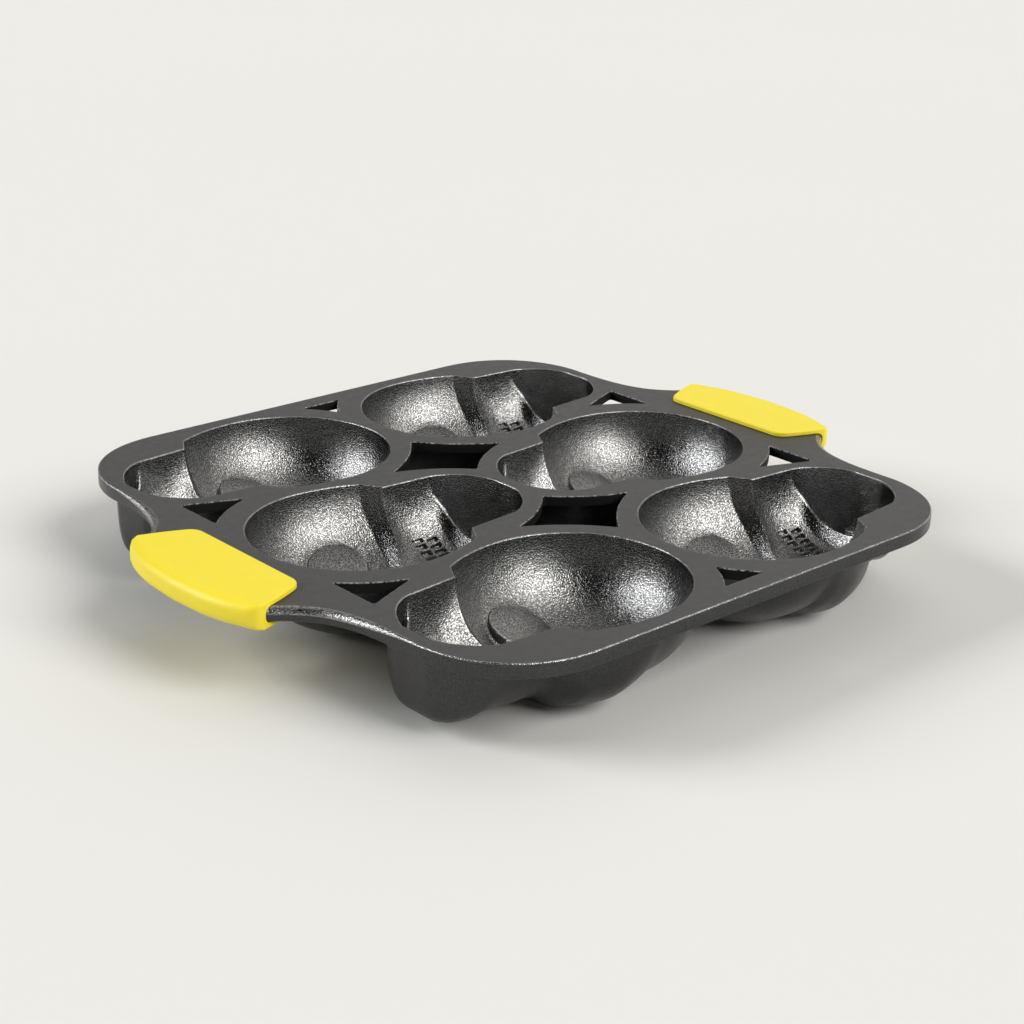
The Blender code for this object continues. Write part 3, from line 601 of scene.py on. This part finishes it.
def smooth_points(points, steps):
    """Points of a smooth curve through the given ones, but for the last."""
    padded = [points[0]] + list(points) + [points[-1]]
    made = []
    for k in range(len(points) - 1):
        a, b, c, d = [Vector(p) for p in padded[k:k + 4]]
        for i in range(steps):
            u = i / steps
            made.append(0.5 * ((2 * b) + (c - a) * u + (2 * a - 5 * b + 4 * c - d) * u ** 2
                               + (3 * b - a - 3 * c + d) * u ** 3))
    return [(p.x, p.y) for p in made]


def pan_quarter(corner_steps=30, end_steps=7):
    side = PLATE_END - CORNER_REACH
    points = [(side * k / 4, PLATE_HALF_WIDTH) for k in range(4)]
    for k in range(corner_steps):
        angle = pi / 2 * (1 - k / corner_steps)
        points.append((side + CORNER_REACH * cos(angle) ** (2 / CORNER_POWER),
                       PLATE_HALF_WIDTH - CORNER_REACH * (1 - sin(angle) ** (2 / CORNER_POWER))))
    start = (PLATE_END, PLATE_HALF_WIDTH - CORNER_REACH)
    root_x, root_y = HANDLE_CURVE[0]
    sweep = [(PLATE_END + root_x * a, root_y + (start[1] - root_y) * b) for a, b in SWEEP_SHARES]
    handle = [(PLATE_END + x, y) for x, y in HANDLE_CURVE]
    return points + smooth_points([start] + sweep + handle, end_steps) + [handle[-1]]


def pan_outline():
    quarter = pan_quarter()
    upper = quarter[::-1] + [(-x, y) for x, y in quarter[1:]]
    return upper + [(x, -y) for x, y in reversed(upper[1:-1])]


def edge_radius(y):
    share = min(1.0, max(0.0, 1 - (abs(y) - FULL_ROUND_AT) / ROUND_RUN))
    return EDGE_ROUND + HANDLE_EXTRA_ROUND * share * share * (3 - 2 * share)


def rounded_slab(name, outline, top, bottom, radii, finish, growth=0.0, steps=4):
    """A slab on an outline, grown by a clearance, with its own edge radius at each point."""
    normals = outline_normals(outline)
    rings = []
    for level, way in ((top + growth, 1), (bottom - growth, -1)):
        quarter = []
        for k in range(steps + 1):
            angle = 0.5 * pi * k / steps
            quarter.append([(x + nx * (growth - r * (1 - sin(angle))),
                             y + ny * (growth - r * (1 - sin(angle))),
                             level - way * r * (1 - cos(angle)))
                            for (x, y), (nx, ny), r in zip(outline, normals, radii)])
        rings += quarter if way > 0 else quarter[::-1]
    return ring_solid(name, rings, finish)


def prism(name, outline, low, high, finish):
    return ring_solid(name, [[(x, y, z) for x, y in outline] for z in (low, high)], finish)


def underside_pocket(finish):
    """The room inside the rim: the outline moved in, without its crowded points."""
    limit = PLATE_END - RIM_WIDTH
    outline = pan_outline()
    kept = []
    for (x, y), (nx, ny) in zip(outline, outline_normals(outline)):
        p = (max(-limit, min(limit, x - nx * RIM_WIDTH)), y - ny * RIM_WIDTH)
        if not kept or hypot(p[0] - kept[-1][0], p[1] - kept[-1][1]) > 0.0010:
            kept.append(p)
    return prism("pocket", kept, PAN_HEIGHT - RIM_DEPTH - OVERCUT, PAN_HEIGHT - WEB_THICKNESS, finish)


# %% [markdown]
# Eight holes lighten the web: two four-pointed stars between the rows, four triangles beside
# the middle row's craniums and one at each long side. Each is a prism with bowed sides and
# rounded corners, opened a little at the top so that it leaves a worn, rounded edge.

# %% Holes in the web
HOLE_CORNER, HOLE_ROUND = 0.0026, 0.0006
STAR_NOTCH_LAND, STAR_SIDE_SHIFT = 0.0168, 0.0012       # side tips, from a notch and the web's middle
STAR_CRANIUM_REACH, STAR_CHIN_TIP = 0.0287, 0.0234      # end tips, from the outer and the middle row
STAR_CRANIUM_BULGE, STAR_CHIN_BULGE = 0.0031, 0.0030
TRIANGLE_RIM_LAND, TRIANGLE_LENGTH, TRIANGLE_TIP_SHIFT = 0.0115, 0.0290, 0.0011
TRIANGLE_NEAR, TRIANGLE_FAR_LAND, TRIANGLE_CRANIUM_BULGE = 0.0430, 0.0317, 0.0022
END_HOLE_RIM_LAND, END_HOLE_HALF, END_HOLE_LENGTH, END_HOLE_BULGE = 0.0113, 0.0128, 0.0177, 0.0012


def web_middle(x):
    """Middle of the web between the middle row and an outer row."""
    near = cup_half_width(CHIN_LAND + CUP_LENGTH - x)
    far = ROW_PITCH - cup_half_width(x - CRANIUM_LAND)
    return (near + far) / 2


def hole_outline(corners, bulges, steps=14):
    """A closed outline with bowed sides; None marks a corner, which is then rounded."""
    outline = []
    for k, a in enumerate(corners):
        b = corners[(k + 1) % len(corners)]
        dx, dy = b[0] - a[0], b[1] - a[1]
        length = hypot(dx, dy)
        start = HOLE_CORNER / length
        for i in range(steps + 1):
            u = start + (1 - 2 * start) * i / steps
            bow = 4 * bulges[k] * u * (1 - u)
            outline.append((a[0] + dx * u - dy / length * bow, a[1] + dy * u + dx / length * bow))
        outline.append(None)
    made = []
    count = len(outline)
    for i, p in enumerate(outline):
        if p is not None:
            made.append(p)
            continue
        first, last = Vector(outline[i - 1]), Vector(outline[(i + 1) % count])
        corner = Vector(corners[(i // (steps + 2) + 1) % len(corners)])
        for u in (0.2, 0.4, 0.6, 0.8):
            q = first * (1 - u) ** 2 + corner * 2 * u * (1 - u) + last * u * u
            made.append((q.x, q.y))
    return made


def web_holes():
    tip_x = CHIN_LAND + CUP_LENGTH - NOTCH_AT - STAR_NOTCH_LAND
    tip_y = web_middle(tip_x) + STAR_SIDE_SHIFT
    star = hole_outline([(0.0, STAR_CHIN_TIP), (tip_x, tip_y), (0.0, ROW_PITCH - STAR_CRANIUM_REACH),
                         (-tip_x, tip_y)],
                        [STAR_CHIN_BULGE, STAR_CRANIUM_BULGE, STAR_CRANIUM_BULGE, STAR_CHIN_BULGE])
    rim = PLATE_HALF_WIDTH - END_HOLE_RIM_LAND
    end = hole_outline([(-END_HOLE_HALF, rim), (0.0, rim - END_HOLE_LENGTH), (END_HOLE_HALF, rim)],
                       [END_HOLE_BULGE, END_HOLE_BULGE, 0.0])
    rim = PLATE_END - TRIANGLE_RIM_LAND
    tip = rim - TRIANGLE_LENGTH
    triangle = hole_outline([(rim, TRIANGLE_NEAR), (rim, ROW_PITCH - TRIANGLE_FAR_LAND),
                             (tip, web_middle(tip) + TRIANGLE_TIP_SHIFT)],
                            [0.0, 0.0, TRIANGLE_CRANIUM_BULGE])
    holes = [[(x, y * side) for x, y in outline] for outline in (star, end) for side in (1, -1)]
    return holes + [[(x * sx, y * sy) for x, y in triangle] for sx in (1, -1) for sy in (1, -1)]


def hole_cutter(outline, finish):
    low = PAN_HEIGHT - RIM_DEPTH - OVERCUT
    rings = [[(x, y, low) for x, y in outline]]
    rings += flared_rings(outline, HOLE_ROUND, PAN_HEIGHT)
    return ring_solid("hole", rings, finish)


# %% [markdown]
# Seasoned iron has an orange-peel skin, because the oil is baked onto a sand casting. One
# shader group makes that grain at a given size in metres, so the cups can take a coarse one
# and the plate a fine one. A second group shows bright bare metal where edges are rubbed, and
# the same bright metal serves as a painted highlight along the edges and the crests in the cups.

# %% Shared shader groups


def shader_group(name, inputs, outputs):
    return node_tree(name, inputs, outputs, 'ShaderNodeTree')


def grown_place(tree, size):
    """Object coordinates in units of a grain's size."""
    place = tree.nodes.new('ShaderNodeTexCoord')
    return new_node(tree, 'ShaderNodeVectorMath', {
        0: place.outputs["Object"], "Scale": math_node(tree, 'DIVIDE', 1.0, size)},
        operation='SCALE').outputs[0]


def cast_grain_group():
    """Grain from object coordinates: a height for Bump and a mask for roughness."""
    tree, given, made = shader_group("cast_grain", [("Size", 'NodeSocketFloat')],
                                     [("Height", 'NodeSocketFloat'), ("Patches", 'NodeSocketFloat')])
    grown = grown_place(tree, given.outputs["Size"])
    coarse = new_node(tree, 'ShaderNodeTexNoise', {
        "Vector": grown, "Scale": 1.0, "Detail": 2.0, "Roughness": 0.45})
    broad = new_node(tree, 'ShaderNodeTexNoise', {"Vector": grown, "Scale": 0.09, "Detail": 3.0})
    tree.links.new(coarse.outputs[0], made.inputs["Height"])
    tree.links.new(broad.outputs[0], made.inputs["Patches"])
    return tree


def rubbed_edge_and_glint_group():
    """Mixes colour and roughness towards bright bare metal where edges are worn and where they carry a
    painted highlight.
    """
    tree, given, made = shader_group("rubbed_edge_and_glint", [
        ("Colour", 'NodeSocketColor'), ("Bare And Glint", 'NodeSocketColor'), ("Roughness", 'NodeSocketFloat'),
        ("Rubbed Roughness", 'NodeSocketFloat'), ("Size", 'NodeSocketFloat'),
        ("Amount", 'NodeSocketFloat')],
        [("Colour", 'NodeSocketColor'), ("Roughness", 'NodeSocketFloat')])
    # the stored edge mark: real wear on the top edges, and a painted highlight on them and on the crests
    wear_and_glint = new_node(tree, 'ShaderNodeAttribute', attribute_name="edge_wear_and_glint")
    broken = new_node(tree, 'ShaderNodeTexNoise', {
        "Vector": grown_place(tree, given.outputs["Size"]), "Scale": 1.0, "Detail": 2.0})
    spread = new_node(tree, 'ShaderNodeMapRange', {
        "Value": broken.outputs[0], "From Min": 0.38, "From Max": 0.62})
    amount = math_node(tree, 'MULTIPLY', wear_and_glint.outputs["Fac"], given.outputs["Amount"])
    share = math_node(tree, 'MULTIPLY', amount, spread.outputs[0])
    colour = new_node(tree, 'ShaderNodeMix', {
        0: share, 6: given.outputs["Colour"], 7: given.outputs["Bare And Glint"]}, data_type='RGBA')
    rough = new_node(tree, 'ShaderNodeMix', {
        0: share, 2: given.outputs["Roughness"], 3: given.outputs["Rubbed Roughness"]})
    tree.links.new(colour.outputs[2], made.inputs["Colour"])
    tree.links.new(rough.outputs[0], made.inputs["Roughness"])
    return tree


CAST_GRAIN = cast_grain_group()
RUBBED_EDGE_AND_GLINT = rubbed_edge_and_glint_group()
print("shader groups:", [tree.name for tree in (CAST_GRAIN, RUBBED_EDGE_AND_GLINT)])

# %% [markdown]
# One kind of iron has four finishes here: glossy and coarse inside the cups, flat and fine on
# the plate, satin on the outside, and nearly black on the walls of the holes, which is painted
# shade. They differ only in their values, so one function makes them all. The grips are satin
# silicone.

# %% Finishes


def new_finish(name):
    made = bpy.data.materials.new(name)
    made.use_nodes = True
    return made, made.node_tree, made.node_tree.nodes["Principled BSDF"]


def between_tints(tree, share, first, second):
    return new_node(tree, 'ShaderNodeMix', {0: share, 6: (*first, 1), 7: (*second, 1)},
                    data_type='RGBA').outputs[2]


def grain_bump(tree, skin, strength, depth):
    return new_node(tree, 'ShaderNodeBump', {
        "Height": skin.outputs["Height"], "Strength": strength, "Distance": depth}).outputs["Normal"]


# bright bare iron for rubbed edges, which also paints a highlight along the edges and the crests in the
# cups
BARE_IRON_AND_GLINT, BRIGHT_BARE_IRON_AND_GLINT = (0.50, 0.49, 0.47), (0.62, 0.61, 0.59)
RUBBED_ROUGHNESS, RUBBED_GRAIN = 0.32, 0.0016


def iron_finish(name, colour, roughness, rough_spread, metallic, grain, depth, bare_and_glint=BARE_IRON_AND_GLINT,
                amount=0.6, painted_grain_shading=0.18, specular=0.5):
    made, tree, shader = new_finish(name)
    skin = new_node(tree, 'ShaderNodeGroup', {"Size": grain}, node_tree=CAST_GRAIN)
    patchy = new_node(tree, 'ShaderNodeMapRange', {
        "Value": skin.outputs["Patches"], "From Min": 0.3, "From Max": 0.7,
        "To Min": roughness - rough_spread, "To Max": roughness + rough_spread})
    # the grain's pits are painted darker and its bumps lighter: painted shade and highlight on the grain
    pits = new_node(tree, 'ShaderNodeMapRange', {
        "Value": skin.outputs["Height"], "From Min": 0.36, "From Max": 0.66})
    tint = between_tints(tree, pits.outputs[0], [c * (1 - painted_grain_shading) for c in colour],
                         [c * (1 + painted_grain_shading) for c in colour])
    # edges turn to bright bare iron where worn, and where a painted highlight is put on them
    worn_and_glint = new_node(tree, 'ShaderNodeGroup', {
        "Colour": tint, "Bare And Glint": (*bare_and_glint, 1), "Roughness": patchy.outputs[0],
        "Rubbed Roughness": RUBBED_ROUGHNESS, "Size": RUBBED_GRAIN, "Amount": amount},
        node_tree=RUBBED_EDGE_AND_GLINT)
    set_inputs(tree, shader, {
        "Base Color": worn_and_glint.outputs["Colour"], "Roughness": worn_and_glint.outputs["Roughness"],
        "Metallic": metallic, "Specular IOR Level": specular,
        "Normal": grain_bump(tree, skin, 1.0, depth)})
    return made


def silicone_finish():
    made, tree, shader = new_finish("yellow_silicone_soft")
    skin = new_node(tree, 'ShaderNodeGroup', {"Size": 0.0005}, node_tree=CAST_GRAIN)
    satin = new_node(tree, 'ShaderNodeMapRange', {
        "Value": skin.outputs["Patches"], "To Min": 0.40, "To Max": 0.52})
    set_inputs(tree, shader, {
        "Base Color": between_tints(tree, skin.outputs["Patches"], (0.80, 0.655, 0.026),
                                    (0.84, 0.695, 0.034)),
        "Roughness": satin.outputs[0], "IOR": 1.43, "Subsurface Weight": 0.12,
        "Subsurface Radius": (0.004, 0.003, 0.0008), "Subsurface Scale": 1.0,
        "Normal": grain_bump(tree, skin, 0.25, 0.00004)})
    return made


# the cups take the strongest painted shade in the grain's pits
CUP_IRON = iron_finish("cup_iron", (0.22, 0.22, 0.218), roughness=0.17, rough_spread=0.03, metallic=1.0,
                       grain=0.00064, depth=0.00032, bare_and_glint=BRIGHT_BARE_IRON_AND_GLINT, painted_grain_shading=0.50)
PLATE_IRON = iron_finish("plate_iron", (0.039, 0.039, 0.039), roughness=0.46, rough_spread=0.04,
                         metallic=0.0, grain=0.00045, depth=0.00020)
OUTER_IRON = iron_finish("outer_iron", (0.062, 0.062, 0.064), roughness=0.34, rough_spread=0.04,
                         metallic=0.95, grain=0.00070, depth=0.00018)
# the hole walls are painted nearly black: painted shade
HOLE_PAINTED_SHADE_IRON = iron_finish("hole_iron_painted_shade", (0.008, 0.008, 0.008), roughness=0.60, rough_spread=0.04,
                        metallic=0.0, grain=0.00070, depth=0.00020, amount=0.8, specular=0.12)
SILICONE = silicone_finish()
print("finishes:", [m.name for m in (CUP_IRON, PLATE_IRON, OUTER_IRON, HOLE_PAINTED_SHADE_IRON, SILICONE)])

# %% [markdown]
# The casting is then made the way a foundry pattern is: a slab with a pocket below, six
# shells joined to it, six hollows and eight holes cut from it. Each cutter carries its own
# finish, so the walls that it cuts get that finish with no further step. Last, each corner
# of the mesh is told how rubbed it is and how much painted highlight it takes, for the shader
# group that shows bright bare iron there.

# %% Casting
# how far below the top the edges are worn bright and given a painted highlight, and how strongly crests
# in the cups get a painted highlight
EDGE_WEAR_AND_GLINT_DEPTH, EDGE_WEAR_AND_GLINT_ZONE = 0.00058, 0.0012       # below the plate's top
CREST_ANGLE, CREST_GLINT = 0.20, 0.8
TOP_FACE, EDGE_FACE = 0.985, 0.05                       # how far up a slab's face looks


def cup_placements():
    """Place and direction of each cup: the middle row points inward, the others outward."""
    places = []
    for side in (1, -1):
        for row in (-1, 1):
            places.append((side * CRANIUM_LAND, row * ROW_PITCH, side))
        places.append((side * (CHIN_LAND + CUP_LENGTH), 0.0, -side))
    return places


def placed_copy(source, place):
    x, y, way = place
    copy = source.copy()
    copy.data = source.data.copy()
    copy.data.transform(Matrix.Translation((x, y, PAN_HEIGHT))
                        @ Matrix.Rotation(0.0 if way > 0 else pi, 4, 'Z'))
    bpy.context.scene.collection.objects.link(copy)
    return copy


def whole_cavity():
    """One cup's hollow, with its islands cut out of it and its teeth added."""
    cavity = cup_cavity(CUP_IRON)
    tree = tooth_row_tree()
    pits = []
    for count, pitch, squeeze, width, side, gap in TOOTH_ROWS:
        middle = BITE_AT + side * gap + side * TOOTH_LENGTH / 2
        pit = tooth_pit(TOOTH_LENGTH, width)
        pits.append(made_by_tree("teeth", tree, {
            "Floor": cavity, "Pit": pit, "Count": count, "Pitch": pitch, "Place": middle,
            "Squeeze": squeeze, "Finish": CUP_IRON}))
        bpy.data.objects.remove(pit)
    combine(cavity, [eye_island(1), eye_island(-1), nose_island()], 'DIFFERENCE')
    combine(cavity, pits, 'UNION')
    return cavity


def edge_wear_and_glint(mesh):
    """Stores each corner's edge mark: wear and painted highlight on the top edges, painted highlight on
    the cups' crests.
    """
    cup = [m.name for m in mesh.materials].index("cup_iron")
    bm = bmesh.new()
    bm.from_mesh(mesh)
    worn_and_glint = np.zeros(len(bm.verts))
    for line in bm.edges:
        # convex crests in the cups get a painted highlight
        if len(line.link_faces) == 2 and all(f.material_index == cup for f in line.link_faces):
            value = min(1.0, line.calc_face_angle_signed(0.0) / CREST_ANGLE - 0.5)
            for vert in line.verts:
                worn_and_glint[vert.index] = max(worn_and_glint[vert.index], CREST_GLINT * value)
    # top edges get wear and a painted highlight, fading with depth below the top
    for vert in bm.verts:
        below = PAN_HEIGHT - vert.co.z
        if below < EDGE_WEAR_AND_GLINT_ZONE:
            worn_and_glint[vert.index] = max(0.0, 1 - below / EDGE_WEAR_AND_GLINT_DEPTH)
    bm.free()
    layer = mesh.attributes.new("edge_wear_and_glint", 'FLOAT', 'CORNER')
    values = np.zeros(len(mesh.loops), dtype=np.float32)
    for face in mesh.polygons:
        if len(face.vertices) > 4 or face.normal.z > 0.9995:
            continue                    # the plate's flat top gets neither wear nor painted highlight
        for loop in face.loop_indices:
            values[loop] = worn_and_glint[mesh.loops[loop].vertex_index]
    layer.data.foreach_set("value", values)


def shade_piece(item, angle=0.62):
    """Smooth but for real edges; large flat faces keep their own normals."""
    mesh = item.data
    mesh.shade_smooth()
    mesh.set_sharp_from_angle(angle=angle)
    sharp = mesh.attributes.get("sharp_edge") or mesh.attributes.new("sharp_edge", 'BOOLEAN', 'EDGE')
    keep = np.zeros(len(mesh.edges), dtype=bool)
    sharp.data.foreach_get("value", keep)
    flat = [f for f in mesh.polygons if abs(f.normal.z) > 0.9999 and len(f.vertices) > 4]
    lookup = {tuple(sorted(e.vertices)): e.index for e in mesh.edges}
    for face in flat:
        for key in face.edge_keys:
            keep[lookup[tuple(sorted(key))]] = True
    sharp.data.foreach_set("value", keep)


def build_casting():
    """The whole pan; the last cut but two trims the shells to the ground they stand on."""
    outline = pan_outline()
    radii = [edge_radius(y) for x, y in outline]
    casting = rounded_slab("pan_casting_detailed", outline, PAN_HEIGHT, PAN_HEIGHT - RIM_DEPTH,
                           radii, PLATE_IRON)
    casting.data.materials.append(CUP_IRON)
    casting.data.materials.append(OUTER_IRON)
    for face in casting.data.polygons:      # plate on top, cup iron on the round edge, outer iron below
        up = face.normal.z
        face.material_index = 0 if up > TOP_FACE else 1 if up > EDGE_FACE else 2
    combine(casting, [underside_pocket(OUTER_IRON)], 'DIFFERENCE')
    shell = cup_shell(OUTER_IRON)
    combine(casting, [placed_copy(shell, place) for place in cup_placements()], 'UNION')
    bpy.data.objects.remove(shell)
    corners = [(PLATE_END * x, PLATE_HALF_WIDTH * y) for x, y in ((-1, -1), (1, -1), (1, 1), (-1, 1))]
    ground = prism("ground", corners, -0.005, 0.0, OUTER_IRON)
    combine(casting, [ground], 'DIFFERENCE')
    cavity = whole_cavity()
    combine(casting, [placed_copy(cavity, place) for place in cup_placements()], 'DIFFERENCE')
    bpy.data.objects.remove(cavity)
    combine(casting, [hole_cutter(outline, HOLE_PAINTED_SHADE_IRON) for outline in web_holes()], 'DIFFERENCE')
    return casting


casting = build_casting()
edge_wear_and_glint(casting.data)
shade_piece(casting)
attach(casting, "pan")
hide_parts("pan_casting")
print("casting:", len(casting.data.polygons), "faces,", [m.name for m in casting.data.materials])

# %% [markdown]
# Each grip is a sleeve of soft silicone. It follows the handle's own outline, grown by the
# wall, with a large soft outer edge and a fine lip at the mouth, and it is hollowed with the
# handle's slab, a little larger all round.

# %% Grips
GRIP_END = [(0.0071, 0.0410), (0.0120, 0.0431), (0.0172, 0.0451), (0.0225, 0.0469),
            (0.0270, 0.0482)]
GRIP_START, GRIP_CORNER_HALF, GRIP_INNER_HALF = 0.0015, 0.0388, 0.0334
GRIP_WALL, GRIP_FIT = 0.0023, 0.0003
GRIP_LIP, GRIP_EXTRA_ROUND, GRIP_ROUND_OVER = 0.0009, 0.0043, 0.0080


def grip_outline():
    """Outline of the right sleeve: the handle's, grown, with drawn-in sides and inner corners."""
    reach = GRIP_WALL + GRIP_FIT
    upper = [p for p in pan_quarter(end_steps=10)[::-1] if p[0] > PLATE_END + GRIP_END[-1][0]]
    tip = [(x, -y) for x, y in reversed(upper[1:])] + upper
    normals = outline_normals(tip + [(0.1, 0.0)])[:-1]
    outer = [(x + nx * reach, y + ny * reach) for (x, y), (nx, ny) in zip(tip, normals)][1:-1]
    side = smooth_points([(PLATE_END + x, y) for x, y in GRIP_END], 5)
    side.append((PLATE_END + GRIP_END[-1][0], GRIP_END[-1][1]))
    inner = PLATE_END + GRIP_START
    bend = (side[0], (inner, GRIP_CORNER_HALF), (inner, GRIP_INNER_HALF))
    corner = [tuple((1 - u) ** 2 * a + 2 * u * (1 - u) * b + u ** 2 * c for a, b, c in zip(*bend))
              for u in np.linspace(0, 1, 13)]
    end = side[:0:-1] + corner
    return outer + end + [(x, -y) for x, y in reversed(end)]


def grip_radii(outline):
    start = PLATE_END + GRIP_END[-1][0]
    shares = [min(1.0, max(0.0, (x - start) / GRIP_ROUND_OVER)) for x, y in outline]
    return [GRIP_LIP + GRIP_EXTRA_ROUND * share for share in shares]


def build_grip(name, side, node):
    outline = grip_outline()
    radii = grip_radii(outline)
    if side < 0:
        outline = [(-x, y) for x, y in reversed(outline)]
        radii = radii[::-1]
    reach = GRIP_WALL + GRIP_FIT
    grip = rounded_slab(name, outline, PAN_HEIGHT + reach, PAN_HEIGHT - RIM_DEPTH - reach, radii,
                        SILICONE, steps=8)
    handle = pan_outline()
    room = rounded_slab("room", handle, PAN_HEIGHT, PAN_HEIGHT - RIM_DEPTH,
                        [edge_radius(y) for x, y in handle], SILICONE, growth=GRIP_FIT)
    combine(grip, [room], 'DIFFERENCE')
    shade_piece(grip, 0.7)
    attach(grip, node.split("_")[1] + "_grip")
    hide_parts(node)
    return grip


grips = [build_grip("grip_left_soft", -1, "grip_left"), build_grip("grip_right_soft", 1, "grip_right")]
print("grips:", [len(g.data.polygons) for g in grips])

# %% [markdown]
# The studio is a pale floor that sweeps up into a wall all round, so no horizon shows from
# any side, a sky that is bright behind the pan, and two broad lamps. The iron is dark, so it
# is mostly seen by what it mirrors: each cup shows both lamps once, as in the photograph.

# %% Floor and backdrop
FLOOR_FLAT, FLOOR_BEND, BACKDROP_TURNS = 5.0, 1.4, 96
BACKDROP_DROP = 0.0002          # the floor lies this far below the feet


def studio_finish():
    made, tree, shader = new_finish("warm_paper")
    place = tree.nodes.new('ShaderNodeTexCoord')
    noise = new_node(tree, 'ShaderNodeTexNoise', {"Vector": place.outputs["Object"], "Scale": 1.5})
    set_inputs(tree, shader, {
        "Base Color": between_tints(tree, noise.outputs[0], (0.700, 0.699, 0.678), (0.710, 0.709, 0.688)),
        "Roughness": 0.9, "Specular IOR Level": 0.1})
    return made


def backdrop():
    profile = [(0.001, 0.0), (1.0, 0.0)]
    profile += [(FLOOR_FLAT + FLOOR_BEND * sin(a), FLOOR_BEND * (1 - cos(a)))
                for a in np.linspace(0, pi / 2, 17)]
    turns = BACKDROP_TURNS
    verts = [(r * cos(2 * pi * k / turns), r * sin(2 * pi * k / turns), z)
             for r, z in profile for k in range(turns)]
    faces = [(i * turns + k, i * turns + (k + 1) % turns, (i + 1) * turns + (k + 1) % turns,
              (i + 1) * turns + k) for i in range(len(profile) - 1) for k in range(turns)]
    faces.append(list(range(turns)))
    item = mesh_object("backdrop", verts, faces, studio_finish())
    item.data.shade_smooth()
    item.data.transform(Matrix.Translation((0, 0, -BACKDROP_DROP)))


def sky(bright_way, dark, bright, shown):
    """A room that is bright behind the pan and dark in front of it, as in a product studio."""
    world = bpy.data.worlds.new("studio_sky")
    bpy.context.scene.world = world
    world.use_nodes = True
    tree = world.node_tree
    place = tree.nodes.new('ShaderNodeTexCoord')
    facing = new_node(tree, 'ShaderNodeVectorMath', {0: place.outputs["Generated"], 1: bright_way},
                      operation='DOT_PRODUCT')
    grade = new_node(tree, 'ShaderNodeMapRange', {
        "Value": facing.outputs["Value"], "From Min": 0.4, "From Max": 1.0, "To Min": dark,
        "To Max": bright}, interpolation_type='SMOOTHSTEP')
    light = tree.nodes["Background"]
    set_inputs(tree, light, {"Color": (1.0, 0.97, 0.93, 1), "Strength": grade.outputs[0]})
    white = new_node(tree, 'ShaderNodeBackground', {"Color": (*shown, 1)})
    path = tree.nodes.new('ShaderNodeLightPath')
    pick = new_node(tree, 'ShaderNodeMixShader', {
        0: path.outputs["Is Camera Ray"], 1: light.outputs[0], 2: white.outputs[0]})
    tree.links.new(pick.outputs[0], tree.nodes["World Output"].inputs["Surface"])


def soft_lamp(name, azimuth, elevation, width, strength, colour):
    """A broad, far lamp, so the light is as even over the floor as a large studio's."""
    lamp = bpy.data.lights.new(name, 'SUN')
    lamp.angle = radians(width)
    lamp.energy = strength
    lamp.color = colour
    item = bpy.data.objects.new(name, lamp)
    az, el = radians(azimuth), radians(elevation)
    way = Vector((cos(az) * cos(el), sin(az) * cos(el), sin(el)))
    item.matrix_world = (-way).to_track_quat('-Z', 'Y').to_matrix().to_4x4()
    bpy.context.scene.collection.objects.link(item)


backdrop()
sky(bright_way=(0.66, 0.12, 0.74), dark=0.01, bright=0.90, shown=(0.86, 0.83, 0.77))
soft_lamp("left_lamp", azimuth=138, elevation=28, width=28, strength=2.4, colour=(0.98, 0.99, 1.0))
soft_lamp("right_lamp", azimuth=-76, elevation=37, width=35, strength=2.6, colour=(1, 0.98, 0.95))
